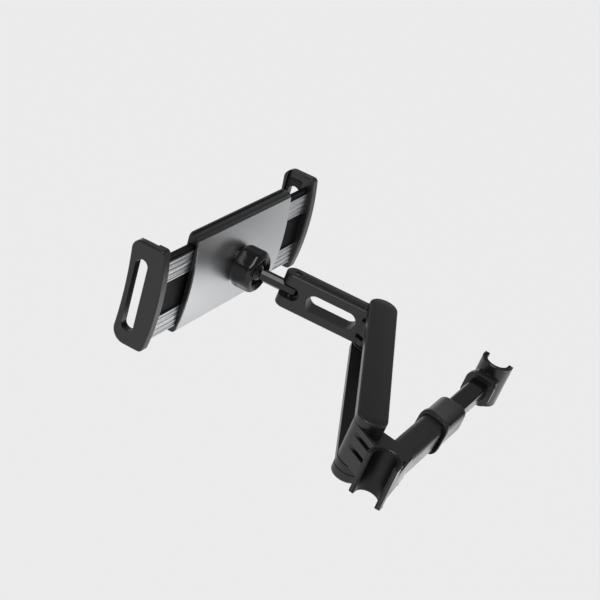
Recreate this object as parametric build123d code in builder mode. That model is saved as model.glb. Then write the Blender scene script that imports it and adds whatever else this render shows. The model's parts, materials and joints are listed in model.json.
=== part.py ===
"""Headrest tablet mount: spring bar between two headrest posts, two arms, ball joint, clamping cradle.

Millimetres and degrees. The origin is on the axis of the near post, halfway up its saddle.
+X runs along the bar to the far post, +Y points to the cradle and +Z is up.
"""

import os
from math import asin, atan2, cos, pi, radians, sin, sqrt, tan

from build123d import *

os.makedirs("parts", exist_ok=True)

# Posts and saddles
POST_R = 7.0
POST_SPAN = 163.3
LINER_T = 1.0
LINER_LIP = 0.8
LINER_FIT = 0.05
SADDLE_WALL = 2.0
SADDLE_H = 27.0
SADDLE_REACH = 3.2

# Spring bar: a square tube, an end collar and a sliding inner tube
TUBE_W = 16.0
TUBE_CORNER = 4.0
TUBE_WALL = 1.25
TUBE_LEN = 74.0
TUBE_FLOOR = 3.0
INNER_W = 11.6
INNER_CORNER = 2.5
INNER_WALL = 1.5
INNER_LAP = 14.0
SLIDE_GAP = 0.3
COLLAR_LEN = 31.5
COLLAR_LAP = 14.0
COLLAR_WALL = 1.3
COLLAR_RIM = 3.5
COLLAR_RIM_STEP = 0.9
COLLAR_SLANT = 16.0
COLLAR_FIT = 0.05
FLANGE_W = 19.4
FLANGE_LEN = 3.5
SOCKET_DEPTH = 6.5
SPRING_WIRE_R = 0.5
SPRING_TURNS = 14
SPRING_GAP = 0.4
PLUG_LEN = 6.0
BAR_SCREW_R = 1.2
BAR_SCREW_HEAD_R = 2.2
BAR_SCREW_HEAD_H = 1.6

# Hinges of the two arms
SHOULDER_X = 22.3
SHOULDER_Y = 21.7
ARM_Z = 1.5
BARREL_R = 9.2
PIN_R = 3.0
PIN_HEAD_R = 5.0
PIN_HEAD_H = 2.0
RUNNING_FIT = 0.08
SEAT_FIT = 0.05
FACE_GAP = 0.3
SPACER_T = 1.8
SPACER_PLAY = 0.1
NUT_FLATS = 9.0
NUT_H = 2.4
SHOULDER_CAP_H = 6.0
ELBOW_CAP_H = 3.4
CAP_EDGE = 1.6
WEB_ROOT_X = 8.0
WEB_ROOT_Y = 6.0
WEB_ROOT_R = 4.0
WEB_WALL = 2.0
RIB_POCKETS = 2
RIB_POCKET_H = 2.8
RIB_POCKET_DEPTH = 5.0
RIB_POCKET_LEN = 16.0
RIB_POCKET_START = 2.5
RIB_TOP = 3.6
RIB_PITCH = 8.5

# Long arm
LONG_LEN = 124.5
LONG_ANGLE = 24.5
PLATE_W = 18.4
PLATE_T = 5.0
PLATE_EDGE = 0.9
STRIP_T = 0.8
STRIP_RIM = 1.0
STRIP_FIT = 0.05

# Short arm
SHORT_LEN = 84.4
SHORT_ANGLE = 103.0
SHORT_T = 12.7
SHORT_H = 24.0
SHORT_EDGE = 1.2
WINDOW_H = 12.0
WINDOW_LEN = 34.0
WINDOW_START = 11.5
NOTCH_H = 9.4
NOTCH_DEPTH = 13.8
FORK_TIP = 20.0
KNUCKLE_GAP = 5.0
KNUCKLE_POCKET = 3.0
SHORT_STRIP_W = 9.7

# Ball joint
BALL_R = 7.0
STEM_W = 6.6
STEM_H = 7.6
STEM_LEN = 32.0
STEM_EDGE = 1.8
WRIST_INSET = 7.4
WRIST_PIN_R = 2.0
BALL_GAP = 0.3
BALL_LINER_T = 1.2
BALL_LINER_FRONT = 2.2
SEAT_RING_T = 1.3
SEAT_RING_BACK = 6.0
SEAT_RING_FRONT = 2.9
CUP_WALL = 1.3
CUP_INSET = 0.4
CUP_RIM = 1.0
NUT_WALL = 2.2
COLLAR_NUT_BACK = 9.3
COLLAR_NUT_LIP = 2.6
COLLAR_NUT_MOUTH = 9.0
COLLAR_NUT_ROUND = 1.9
COLLAR_NUT_FLARE = 2.2
CUP_SCREW_RING = 7.0
CUP_SCREW_R = 1.25
CUP_SCREW_HEAD_R = 2.0
CUP_SCREW_HEAD_H = 0.7
CUP_SCREW_BITE = 2.0

# Cradle, measured from the ball's centre along its own axes
CRADLE_TILT = 6.5
SHELL_W = 115.0
SHELL_H = 66.0
SHELL_BACK = 10.5
SHELL_BOW = 2.9
SHELL_CORNER = 2.4
BACK_PLATE_T = 0.8
BACK_PLATE_MARGIN = 0.5
BACK_PLATE_BORDER = 2.7
BACK_PLATE_RADIUS = 3.0
TABLET_SEAT = 21.0
PAD_T = 0.7
PAD_MARGIN = 6.0
FRONT_T = 1.3
FRONT_RIDGE = 1.0
TONGUE_MARGIN = 5.5
TONGUE_T = 2.9
RAIL_H = 14.4
RAIL_MARGIN = 3.0
RAIL_T = 1.3
RAIL_GROOVES = 4
RAIL_GROOVE_W = 1.0
RAIL_GROOVE_DEPTH = 0.3
SLIDE_PLAY = 0.3
TONGUE_LAP = 12.0
SHELL_SCREW_R = 1.25
SHELL_SCREW_HEAD_R = 2.4
SHELL_SCREW_INSET = 7.0
SHELL_SCREW_BITE = 2.0

# Rack and pinion that keep the clamps centred
GEAR_MODULE = 1.0
PINION_TEETH = 12
PRESSURE_ANGLE = 20.0
GEAR_T = 2.0
GEAR_BACKLASH = 0.35
AXLE_R = 2.0
RACK_H = 2.4
CLAMP_CLOSE = 26.0
CLAMP_OPEN = 6.0

# Clamps
GRIP_HALF = 89.25
CLAMP_PAD_T = 1.0
CLAMP_WALL = 4.75
CLAMP_HOOK = 1.7
CLAMP_LIP_T = 3.5
CLAMP_LIP_DIP = 2.0
CLAMP_RISE = 1.5
CLAMP_DROP = 0.5
CLAMP_MOUTH = 12.0
CLAMP_BACK_MID = 10.4
CLAMP_BACK_END = 13.8
CLAMP_CORNER = 6.0
CLAMP_HEEL = 3.0
CLAMP_TOE = 9.0
CLAMP_EDGE = 1.2
CLAMP_SLOT_MARGIN = 3.5
CLAMP_SLOT_W = 8.6
CLAMP_SLOT_INSET = 1.2
CLAMP_SCREW_R = 0.8
CLAMP_SCREW_BITE = 1.2

# Values worked out from the dimensions above
SADDLE_SEAT_R = POST_R + LINER_T
SADDLE_R = SADDLE_SEAT_R + SADDLE_WALL
TUBE_START = SADDLE_R
TUBE_END = TUBE_START + TUBE_LEN
CAVITY_W = TUBE_W - 2 * TUBE_WALL
CAVITY_CORNER = TUBE_CORNER - TUBE_WALL
COLLAR_BORE = TUBE_W + 2 * COLLAR_FIT
COLLAR_W = COLLAR_BORE + 2 * COLLAR_WALL
COLLAR_START = TUBE_END - COLLAR_LAP
COLLAR_END = COLLAR_START + COLLAR_LEN
FAR_SADDLE_BACK = POST_SPAN - SADDLE_R
FAR_START = FAR_SADDLE_BACK - SOCKET_DEPTH - TUBE_FLOOR
INNER_START = TUBE_END - INNER_LAP
INNER_END = FAR_SADDLE_BACK - TUBE_FLOOR
INNER_BORE = INNER_W - 2 * INNER_WALL
SHOE_LEN = INNER_LAP - SEAT_FIT
PLUG_END = INNER_END - SEAT_FIT
PLUG_START = PLUG_END - PLUG_LEN
SPRING_START = TUBE_START + TUBE_FLOOR + SPRING_WIRE_R
SPRING_LEN = PLUG_START - SPRING_WIRE_R - SPRING_START
SPRING_R = INNER_BORE / 2 - SPRING_GAP - SPRING_WIRE_R
BAR_SCREW_X = (FAR_START + INNER_END) / 2

KNUCKLE_LOW = ARM_Z - SHORT_H / 2
KNUCKLE_HIGH = ARM_Z + SHORT_H / 2
UPPER_Z = KNUCKLE_HIGH + FACE_GAP
LOWER_Z = KNUCKLE_LOW - SPACER_T - 2 * SPACER_PLAY
UPPER_TOP = UPPER_Z + PLATE_T
LOWER_BOTTOM = LOWER_Z - PLATE_T
PIN_BORE_R = PIN_R + RUNNING_FIT
PIN_TOP = UPPER_TOP - STRIP_T
PIN_END = LOWER_BOTTOM - NUT_H
STRIP_W = PLATE_W - 2 * STRIP_RIM

long_dir = (cos(radians(LONG_ANGLE)), sin(radians(LONG_ANGLE)))
short_dir = (cos(radians(SHORT_ANGLE)), sin(radians(SHORT_ANGLE)))
ELBOW_X = SHOULDER_X + LONG_LEN * long_dir[0]
ELBOW_Y = SHOULDER_Y + LONG_LEN * long_dir[1]
BALL_X = ELBOW_X + SHORT_LEN * short_dir[0]
BALL_Y = ELBOW_Y + SHORT_LEN * short_dir[1]
WRIST_S = SHORT_LEN - FORK_TIP - WRIST_INSET
FORK_END = SHORT_LEN - FORK_TIP

LINER_BALL_R = BALL_R + BALL_GAP
LINER_OUT_R = LINER_BALL_R + BALL_LINER_T
SEAT_IN_R = LINER_OUT_R + BALL_GAP
SEAT_OUT_R = SEAT_IN_R + SEAT_RING_T
CUP_BORE_R = SEAT_OUT_R + BALL_GAP
CUP_R = CUP_BORE_R + CUP_WALL
NUT_BORE_R = CUP_R + BALL_GAP
COLLAR_NUT_R = NUT_BORE_R + NUT_WALL
CUP_FLOOR_Z = -(LINER_OUT_R + BALL_GAP)
CUP_BASE_Z = -(SHELL_BACK + BACK_PLATE_T + CUP_INSET)
NUT_LIP_Z = SEAT_RING_FRONT + BALL_GAP

PLATE_RADIUS = (SHELL_H ** 2 / 4 + SHELL_BOW ** 2) / (2 * SHELL_BOW)
PAD_Z = -TABLET_SEAT
FRONT_Z = PAD_Z + PAD_T
SEAM_Z = FRONT_Z + FRONT_T
TONGUE_Z = SEAM_Z + SLIDE_PLAY
RAIL_Z = TONGUE_Z + TONGUE_T
RAIL_TOP = RAIL_Z + RAIL_T
GEAR_Z = RAIL_Z + SLIDE_PLAY
GEAR_TOP = GEAR_Z + GEAR_T
POCKET_TOP = GEAR_TOP + SLIDE_PLAY
TONGUE_H = SHELL_H - 2 * TONGUE_MARGIN
UPPER_RAIL_Y = TONGUE_H / 2 - RAIL_MARGIN - RAIL_H / 2
LOWER_RAIL_Y = RAIL_H / 2 - TONGUE_H / 2
CLAMP_SCREW_Y = TONGUE_H / 4
PINION_R = GEAR_MODULE * PINION_TEETH / 2
ADDENDUM = 0.8 * GEAR_MODULE
DEDENDUM = 1.2 * GEAR_MODULE
TOOTH_PITCH = pi * GEAR_MODULE
TOOTH_T = TOOTH_PITCH / 2 - GEAR_BACKLASH
FLANK = tan(radians(PRESSURE_ANGLE))
RACK_BACK = PINION_R + DEDENDUM + RACK_H
TONGUE_IN = SHELL_W / 2 - TONGUE_LAP
RISER_END = SHELL_W / 2 - FRONT_T - SLIDE_PLAY - CLAMP_OPEN
RACK_REACH = CLAMP_OPEN + 2 * TOOTH_PITCH
CLAMP_TOP = SHELL_H / 2 + CLAMP_RISE
CLAMP_BOTTOM = SHELL_H / 2 + CLAMP_DROP
CLAMP_SLOT_LEN = TONGUE_H - 2 * CLAMP_SLOT_MARGIN
CLAMP_IN = GRIP_HALF - CLAMP_HOOK
CLAMP_INNER_WALL = GRIP_HALF + CLAMP_PAD_T
CLAMP_OUT = CLAMP_INNER_WALL + CLAMP_WALL
CLAMP_MOUTH_Z = PAD_Z - CLAMP_MOUTH
CLAMP_FRONT_Z = CLAMP_MOUTH_Z - CLAMP_LIP_T
TONGUE_OUT = CLAMP_INNER_WALL
SLOT_Z = PAD_Z - CLAMP_SLOT_W / 2 - CLAMP_SLOT_INSET

# Frames of the arms, the bar and the cradle
long_arm_frame = Plane(
    origin=(SHOULDER_X, SHOULDER_Y, 0), x_dir=(long_dir[0], long_dir[1], 0), z_dir=(0, 0, 1)
)
short_arm_frame = Plane(
    origin=(ELBOW_X, ELBOW_Y, ARM_Z), x_dir=(short_dir[0], short_dir[1], 0), z_dir=(0, 0, 1)
)
cradle_frame = Plane(
    origin=(BALL_X, BALL_Y, ARM_Z),
    x_dir=(1, 0, 0),
    z_dir=(0, -cos(radians(CRADLE_TILT)), sin(radians(CRADLE_TILT))),
)


def bar_section(x):
    """Plane across the spring bar, with Y and Z as its own axes."""
    return Plane(origin=(x, 0, 0), x_dir=(0, 1, 0), z_dir=(1, 0, 0))


def cradle_side(x):
    """Plane across the cradle, with the cradle's height and depth as its own axes."""
    return Plane(
        origin=cradle_frame.from_local_coords((x, 0, 0)),
        x_dir=cradle_frame.y_dir,
        z_dir=cradle_frame.x_dir,
    )


def short_side(y):
    """Plane along the short arm's side, with its length and height as its own axes."""
    return Plane(
        origin=short_arm_frame.from_local_coords((0, y, 0)),
        x_dir=short_arm_frame.x_dir,
        z_dir=-short_arm_frame.y_dir,
    )


def slab(plane, low, high, x_range, y_range, corner=0.0, mode=Mode.ADD):
    """Rectangular block on a plane, given by its limits, with rounded corners where asked."""
    width = x_range[1] - x_range[0]
    depth = y_range[1] - y_range[0]
    with BuildSketch(plane.offset(low)) as outline:
        with Locations(((x_range[0] + x_range[1]) / 2, (y_range[0] + y_range[1]) / 2)):
            if corner:
                RectangleRounded(width, depth, corner)
            else:
                Rectangle(width, depth)
    extrude(outline.sketch, amount=high - low, mode=mode)


def square_bar(start, end, width, corner, mode=Mode.ADD):
    """Length of the spring bar with a rounded square section."""
    with BuildSketch(bar_section(start)) as section:
        RectangleRounded(width, width, corner)
    extrude(section.sketch, amount=end - start, mode=mode)


def disc(plane, low, high, radius, at=(0, 0), mode=Mode.ADD):
    """Cylinder on a plane, given by its lower and upper face."""
    with BuildSketch(plane.offset(low)) as outline:
        with Locations(at):
            Circle(radius)
    extrude(outline.sketch, amount=high - low, mode=mode)


def bar_plate(plane, low, high, length, width, mode=Mode.ADD):
    """Flat bar with round ends, centred on two hinge axes that lie a length apart."""
    with BuildSketch(plane.offset(low)) as outline:
        with Locations((length / 2, 0)):
            SlotCenterToCenter(length, width)
    extrude(outline.sketch, amount=high - low, mode=mode)


def save(builder, name):
    """Label the finished piece and write its file."""
    builder.part.label = name
    export_step(builder.part, "parts/" + name + ".step")


# Base bracket: near saddle, hinge barrel, web and square outer tube in one moulding
web_span = sqrt((SHOULDER_X - WEB_ROOT_X) ** 2 + (SHOULDER_Y - WEB_ROOT_Y) ** 2)
web_angle = atan2(SHOULDER_Y - WEB_ROOT_Y, SHOULDER_X - WEB_ROOT_X)
web_angle += asin((BARREL_R - WEB_ROOT_R) / web_span)
web_wall_frame = Plane(
    origin=(WEB_ROOT_X - WEB_ROOT_R * sin(web_angle), WEB_ROOT_Y + WEB_ROOT_R * cos(web_angle), 0),
    x_dir=(cos(web_angle), sin(web_angle), 0),
    z_dir=(0, 0, 1),
)

with BuildPart() as base_bracket:
    with BuildSketch(Plane.XY.offset(KNUCKLE_LOW)):
        with Locations((SHOULDER_X, SHOULDER_Y)):
            Circle(BARREL_R)
        with Locations((WEB_ROOT_X, WEB_ROOT_Y)):
            Circle(WEB_ROOT_R)
        with Locations((SHOULDER_X, 0)):
            Circle(TUBE_W / 2)
        make_hull()
    extrude(amount=KNUCKLE_HIGH - KNUCKLE_LOW)
    # The web's top is sunk behind its outer wall, which has pockets between its ribs
    slab(
        web_wall_frame, TUBE_W / 2, KNUCKLE_HIGH, (-2 * web_span, 2 * web_span),
        (-2 * web_span, -WEB_WALL), mode=Mode.SUBTRACT,
    )
    for step in range(RIB_POCKETS):
        pocket_top = KNUCKLE_HIGH - RIB_TOP - step * RIB_PITCH
        slab(
            web_wall_frame, pocket_top - RIB_POCKET_H, pocket_top,
            (RIB_POCKET_START, RIB_POCKET_START + RIB_POCKET_LEN), (-RIB_POCKET_DEPTH, WEB_WALL),
            mode=Mode.SUBTRACT,
        )
    disc(Plane.XY, -SADDLE_H / 2, SADDLE_H / 2, SADDLE_R)
    slab(Plane.XY, -SADDLE_H / 2, SADDLE_H / 2, (-SADDLE_REACH, 0), (-SADDLE_R, SADDLE_R))
    square_bar(0, TUBE_END, TUBE_W, TUBE_CORNER)
    disc(Plane.XY, KNUCKLE_LOW, KNUCKLE_HIGH, BARREL_R, (SHOULDER_X, SHOULDER_Y))
    # Post opening, bar cavity and hinge bore
    disc(Plane.XY, -SADDLE_H, SADDLE_H, SADDLE_SEAT_R, mode=Mode.SUBTRACT)
    slab(
        Plane.XY, -SADDLE_H, SADDLE_H, (-2 * SADDLE_R, 0), (-SADDLE_SEAT_R, SADDLE_SEAT_R),
        mode=Mode.SUBTRACT,
    )
    slab(
        Plane.XY, -SADDLE_H, SADDLE_H, (-2 * SADDLE_R, -SADDLE_REACH), (-2 * SADDLE_R, 2 * SADDLE_R),
        mode=Mode.SUBTRACT,
    )
    square_bar(TUBE_START + TUBE_FLOOR, TUBE_END, CAVITY_W, CAVITY_CORNER, mode=Mode.SUBTRACT)
    disc(
        Plane.XY, KNUCKLE_LOW, KNUCKLE_HIGH, PIN_BORE_R, (SHOULDER_X, SHOULDER_Y), mode=Mode.SUBTRACT
    )
save(base_bracket, "base_bracket")


def post_liner(name, x, facing):
    """Soft half sleeve in a saddle; facing is the way that the saddle opens along X."""
    half = SADDLE_H / 2
    lip_r = SADDLE_SEAT_R + SADDLE_WALL / 2
    with BuildPart() as liner:
        disc(Plane.XY, -half, half, SADDLE_SEAT_R - LINER_FIT, (x, 0))
        disc(Plane.XY, half, half + LINER_LIP, lip_r, (x, 0))
        disc(Plane.XY, -half - LINER_LIP, -half, lip_r, (x, 0))
        sides = sorted((x, x + facing * SADDLE_REACH))
        outside = sorted((x + facing * SADDLE_REACH, x + facing * 2 * SADDLE_R))
        slab(
            Plane.XY, -half, half, sides,
            (LINER_FIT - SADDLE_SEAT_R, SADDLE_SEAT_R - LINER_FIT),
        )
        disc(Plane.XY, -SADDLE_H, SADDLE_H, POST_R, (x, 0), mode=Mode.SUBTRACT)
        mouth = sorted((x, x + facing * 2 * SADDLE_R))
        slab(Plane.XY, -SADDLE_H, SADDLE_H, mouth, (-POST_R, POST_R), mode=Mode.SUBTRACT)
        slab(
            Plane.XY, -SADDLE_H, SADDLE_H, outside, (-2 * SADDLE_R, 2 * SADDLE_R),
            mode=Mode.SUBTRACT,
        )
    save(liner, name)


post_liner("near_liner", 0, -1)
post_liner("far_liner", POST_SPAN, 1)



def rim_plane(x):
    """Slanted plane across the bar, in which the collar's rim lies."""
    slope = tan(radians(COLLAR_SLANT))
    return Plane(origin=(x, 0, 0), z_dir=(1, -slope, -slope))


with BuildPart() as collar_rim:
    square_bar(
        COLLAR_START - COLLAR_W, COLLAR_START + COLLAR_W, COLLAR_W + 2 * COLLAR_RIM_STEP,
        TUBE_CORNER + COLLAR_WALL + COLLAR_RIM_STEP,
    )
    split(bisect_by=rim_plane(COLLAR_START), keep=Keep.TOP)
    split(bisect_by=rim_plane(COLLAR_START + COLLAR_RIM), keep=Keep.BOTTOM)

with BuildPart() as end_collar:
    square_bar(COLLAR_START - COLLAR_W, COLLAR_END, COLLAR_W, TUBE_CORNER + COLLAR_WALL)
    chamfer(end_collar.faces().sort_by(Axis.X)[-1].edges(), COLLAR_WALL)
    split(bisect_by=rim_plane(COLLAR_START), keep=Keep.TOP)
    add(collar_rim.part)
    square_bar(
        COLLAR_START - COLLAR_W, TUBE_END, COLLAR_BORE, TUBE_CORNER + COLLAR_FIT, mode=Mode.SUBTRACT
    )
    square_bar(
        TUBE_END, COLLAR_END, INNER_W + 2 * SLIDE_GAP, INNER_CORNER + SLIDE_GAP, mode=Mode.SUBTRACT
    )
save(end_collar, "end_collar")

with BuildPart() as inner_tube:
    square_bar(INNER_START, INNER_END, INNER_W, INNER_CORNER)
    square_bar(INNER_START, INNER_END, INNER_BORE, INNER_CORNER - INNER_WALL, mode=Mode.SUBTRACT)
    disc(
        Plane.XY, -INNER_W, 0, BAR_SCREW_R + SEAT_FIT, (BAR_SCREW_X, 0), mode=Mode.SUBTRACT
    )
save(inner_tube, "inner_tube")

with BuildPart() as guide_shoe:
    shoe_w = CAVITY_W - 2 * SLIDE_GAP
    square_bar(INNER_START, INNER_START + SHOE_LEN, shoe_w, CAVITY_CORNER - SLIDE_GAP)
    square_bar(
        INNER_START, INNER_START + SHOE_LEN, INNER_W + 2 * SEAT_FIT, INNER_CORNER + SEAT_FIT,
        mode=Mode.SUBTRACT,
    )
save(guide_shoe, "guide_shoe")

with BuildPart() as spring_plug:
    plug_w = INNER_BORE - 2 * SEAT_FIT
    square_bar(PLUG_START, PLUG_END, plug_w, INNER_CORNER - INNER_WALL - SEAT_FIT)
    disc(
        Plane.XY, -INNER_W, 0, BAR_SCREW_R + SEAT_FIT, (BAR_SCREW_X, 0), mode=Mode.SUBTRACT
    )
save(spring_plug, "spring_plug")

with BuildPart() as bar_spring:
    with BuildLine() as coil:
        Helix(
            SPRING_LEN / SPRING_TURNS, SPRING_LEN, SPRING_R,
            center=(SPRING_START, 0, 0), direction=(1, 0, 0),
        )
    with BuildSketch(Plane(origin=coil.line @ 0, z_dir=coil.line % 0)):
        Circle(SPRING_WIRE_R)
    sweep(is_frenet=True)
save(bar_spring, "bar_spring")

with BuildPart() as far_bracket:
    disc(Plane.XY, -SADDLE_H / 2, SADDLE_H / 2, SADDLE_R, (POST_SPAN, 0))
    slab(
        Plane.XY, -SADDLE_H / 2, SADDLE_H / 2, (POST_SPAN, POST_SPAN + SADDLE_REACH),
        (-SADDLE_R, SADDLE_R),
    )
    square_bar(FAR_START, POST_SPAN, TUBE_W, TUBE_CORNER)
    square_bar(FAR_START, FAR_START + FLANGE_LEN, FLANGE_W, TUBE_CORNER + (FLANGE_W - TUBE_W) / 2)
    square_bar(
        FAR_START, INNER_END, INNER_W + 2 * SEAT_FIT, INNER_CORNER + SEAT_FIT, mode=Mode.SUBTRACT
    )
    disc(Plane.XY, -SADDLE_H, SADDLE_H, SADDLE_SEAT_R, (POST_SPAN, 0), mode=Mode.SUBTRACT)
    slab(
        Plane.XY, -SADDLE_H, SADDLE_H, (POST_SPAN, POST_SPAN + 2 * SADDLE_R),
        (-SADDLE_SEAT_R, SADDLE_SEAT_R), mode=Mode.SUBTRACT,
    )
    slab(
        Plane.XY, -SADDLE_H, SADDLE_H, (POST_SPAN + SADDLE_REACH, POST_SPAN + 2 * SADDLE_R),
        (-2 * SADDLE_R, 2 * SADDLE_R), mode=Mode.SUBTRACT,
    )
    screw_at = (BAR_SCREW_X, 0)
    disc(Plane.XY, -TUBE_W, 0, BAR_SCREW_R + SEAT_FIT, screw_at, mode=Mode.SUBTRACT)
    disc(
        Plane.XY, -TUBE_W, BAR_SCREW_HEAD_H - TUBE_W / 2, BAR_SCREW_HEAD_R + SEAT_FIT, screw_at,
        mode=Mode.SUBTRACT,
    )
save(far_bracket, "far_bracket")

with BuildPart() as bar_screw:
    disc(Plane.XY, -TUBE_W / 2, BAR_SCREW_HEAD_H - TUBE_W / 2, BAR_SCREW_HEAD_R, screw_at)
    disc(Plane.XY, -TUBE_W / 2, -SEAT_FIT, BAR_SCREW_R, screw_at)
    slab(
        Plane.XY.offset(-TUBE_W / 2), 0, BAR_SCREW_HEAD_H / 2,
        (screw_at[0] - BAR_SCREW_HEAD_R, screw_at[0] + BAR_SCREW_HEAD_R),
        (-BAR_SCREW_R / 4, BAR_SCREW_R / 4), mode=Mode.SUBTRACT,
    )
save(bar_screw, "bar_screw")

# Long arm: two plates tied by the shoulder pin and the elbow pin
with BuildPart() as upper_plate:
    bar_plate(long_arm_frame, UPPER_Z, UPPER_TOP, LONG_LEN, PLATE_W)
    fillet(upper_plate.faces().sort_by(Axis.Z)[-1].edges(), PLATE_EDGE)
    bar_plate(long_arm_frame, UPPER_TOP - STRIP_T, UPPER_TOP, LONG_LEN, STRIP_W, mode=Mode.SUBTRACT)
    for along in (0, LONG_LEN):
        disc(long_arm_frame, UPPER_Z, UPPER_TOP, PIN_R + SEAT_FIT, (along, 0), mode=Mode.SUBTRACT)
        disc(
            long_arm_frame, PIN_TOP - PIN_HEAD_H, UPPER_TOP, PIN_HEAD_R + SEAT_FIT, (along, 0),
            mode=Mode.SUBTRACT,
        )
save(upper_plate, "upper_plate")

with BuildPart() as lower_plate:
    bar_plate(long_arm_frame, LOWER_BOTTOM, LOWER_Z, LONG_LEN, PLATE_W)
    fillet(lower_plate.faces().sort_by(Axis.Z)[0].edges(), PLATE_EDGE)
    slab(
        long_arm_frame, LOWER_BOTTOM, LOWER_BOTTOM + STRIP_T,
        (PLATE_W / 2 + STRIP_RIM, LONG_LEN - PLATE_W / 2 - STRIP_RIM), (-STRIP_W / 2, STRIP_W / 2),
        mode=Mode.SUBTRACT,
    )
    for along in (0, LONG_LEN):
        disc(
            long_arm_frame, LOWER_BOTTOM, LOWER_Z, PIN_R + SEAT_FIT, (along, 0), mode=Mode.SUBTRACT
        )
save(lower_plate, "lower_plate")

with BuildPart() as upper_strip:
    bar_plate(long_arm_frame, UPPER_TOP - STRIP_T, UPPER_TOP, LONG_LEN, STRIP_W - 2 * STRIP_FIT)
save(upper_strip, "upper_strip")

with BuildPart() as lower_strip:
    slab(
        long_arm_frame, LOWER_BOTTOM, LOWER_BOTTOM + STRIP_T,
        (PLATE_W / 2 + STRIP_RIM + STRIP_FIT, LONG_LEN - PLATE_W / 2 - STRIP_RIM - STRIP_FIT),
        (STRIP_FIT - STRIP_W / 2, STRIP_W / 2 - STRIP_FIT),
    )
save(lower_strip, "lower_strip")

hinges = (
    ("shoulder", 0, SHOULDER_CAP_H, PLATE_W / 2),
    ("elbow", LONG_LEN, ELBOW_CAP_H, PLATE_W / 2 - STRIP_RIM),
)
for hinge, along, cap_h, cap_r in hinges:
    with BuildPart() as hinge_pin:
        disc(long_arm_frame, PIN_END, PIN_TOP, PIN_R, (along, 0))
        disc(long_arm_frame, PIN_TOP - PIN_HEAD_H, PIN_TOP, PIN_HEAD_R, (along, 0))
    save(hinge_pin, hinge + "_pin")

    with BuildPart() as hinge_nut:
        with BuildSketch(long_arm_frame.offset(LOWER_BOTTOM - NUT_H)):
            with Locations((along, 0)):
                RegularPolygon(NUT_FLATS / 2, 6, major_radius=False)
                Circle(PIN_R + SEAT_FIT, mode=Mode.SUBTRACT)
        extrude(amount=NUT_H)
    save(hinge_nut, hinge + "_nut")

    with BuildPart() as hinge_spacer:
        disc(long_arm_frame, LOWER_Z, LOWER_Z + SPACER_T, BARREL_R - FACE_GAP, (along, 0))
        disc(
            long_arm_frame, LOWER_Z, LOWER_Z + SPACER_T, PIN_R + SEAT_FIT, (along, 0),
            mode=Mode.SUBTRACT,
        )
    save(hinge_spacer, hinge + "_spacer")

    with BuildPart() as hinge_cap:
        disc(long_arm_frame, LOWER_BOTTOM - cap_h, LOWER_BOTTOM, cap_r, (along, 0))
        fillet(hinge_cap.faces().sort_by(Axis.Z)[0].edges(), CAP_EDGE)
        disc(
            long_arm_frame, LOWER_BOTTOM - NUT_H - SEAT_FIT, LOWER_BOTTOM,
            NUT_FLATS / sqrt(3) + FACE_GAP, (along, 0), mode=Mode.SUBTRACT,
        )
    save(hinge_cap, hinge + "_cap")

# Short arm: a flat bar on edge, with an elbow knuckle, a window and a fork for the stem
with BuildPart() as short_arm:
    with BuildSketch(short_arm_frame.offset(-SHORT_H / 2)):
        Circle(BARREL_R - FACE_GAP)
        with Locations((FORK_END - SHORT_T / 2, 0)):
            Circle(SHORT_T / 2)
        with Locations((FORK_END / 2 - SHORT_T / 4, 0)):
            Rectangle(FORK_END - SHORT_T / 2, SHORT_T)
    extrude(amount=SHORT_H)
    fillet(short_arm.faces().sort_by(Axis.Z)[-1].edges(), SHORT_EDGE)
    fillet(short_arm.faces().sort_by(Axis.Z)[0].edges(), SHORT_EDGE)
    with BuildSketch(short_side(-SHORT_T)) as window:
        with Locations((WINDOW_START + WINDOW_LEN / 2, 0)):
            SlotOverall(WINDOW_LEN, WINDOW_H)
    extrude(amount=-2 * SHORT_T, mode=Mode.SUBTRACT)
    with BuildSketch(short_side(-SHORT_T)) as notch:
        with Locations((FORK_END, 0)):
            SlotOverall(2 * NOTCH_DEPTH, NOTCH_H)
    extrude(amount=-2 * SHORT_T, mode=Mode.SUBTRACT)
    disc(short_arm_frame, -SHORT_H, SHORT_H, PIN_BORE_R, mode=Mode.SUBTRACT)
    disc(short_arm_frame, -SHORT_H, SHORT_H, WRIST_PIN_R + SEAT_FIT, (WRIST_S, 0), mode=Mode.SUBTRACT)
    slab(
        short_arm_frame, -KNUCKLE_GAP / 2, KNUCKLE_GAP / 2, (-BARREL_R, -PIN_BORE_R - RUNNING_FIT),
        (-BARREL_R, BARREL_R), mode=Mode.SUBTRACT,
    )
    for side in (-1, 1):
        strip_z = side * SHORT_H / 2
        low, high = sorted((strip_z, strip_z - side * STRIP_T))
        slab(
            short_arm_frame, low, high, (BARREL_R + STRIP_RIM, FORK_END - SHORT_T / 2),
            (-SHORT_STRIP_W / 2, SHORT_STRIP_W / 2), mode=Mode.SUBTRACT,
        )
        pocket_z = side * SHORT_H / 4
        slab(
            short_arm_frame, pocket_z - KNUCKLE_POCKET / 2, pocket_z + KNUCKLE_POCKET / 2,
            (PIN_BORE_R + RUNNING_FIT, WINDOW_START - RUNNING_FIT - PIN_BORE_R),
            (SHORT_T / 2 - KNUCKLE_POCKET, BARREL_R), mode=Mode.SUBTRACT,
        )
save(short_arm, "short_arm")

for strip_name, side in (("short_top_strip", 1), ("short_bottom_strip", -1)):
    strip_z = side * SHORT_H / 2
    low, high = sorted((strip_z, strip_z - side * STRIP_T))
    with BuildPart() as short_strip:
        slab(
            short_arm_frame, low, high,
            (BARREL_R + STRIP_RIM + STRIP_FIT, FORK_END - SHORT_T / 2 - STRIP_FIT),
            (STRIP_FIT - SHORT_STRIP_W / 2, SHORT_STRIP_W / 2 - STRIP_FIT),
        )
        disc(
            short_arm_frame, low, high, WRIST_PIN_R + SEAT_FIT, (WRIST_S, 0), mode=Mode.SUBTRACT
        )
    save(short_strip, strip_name)

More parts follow.
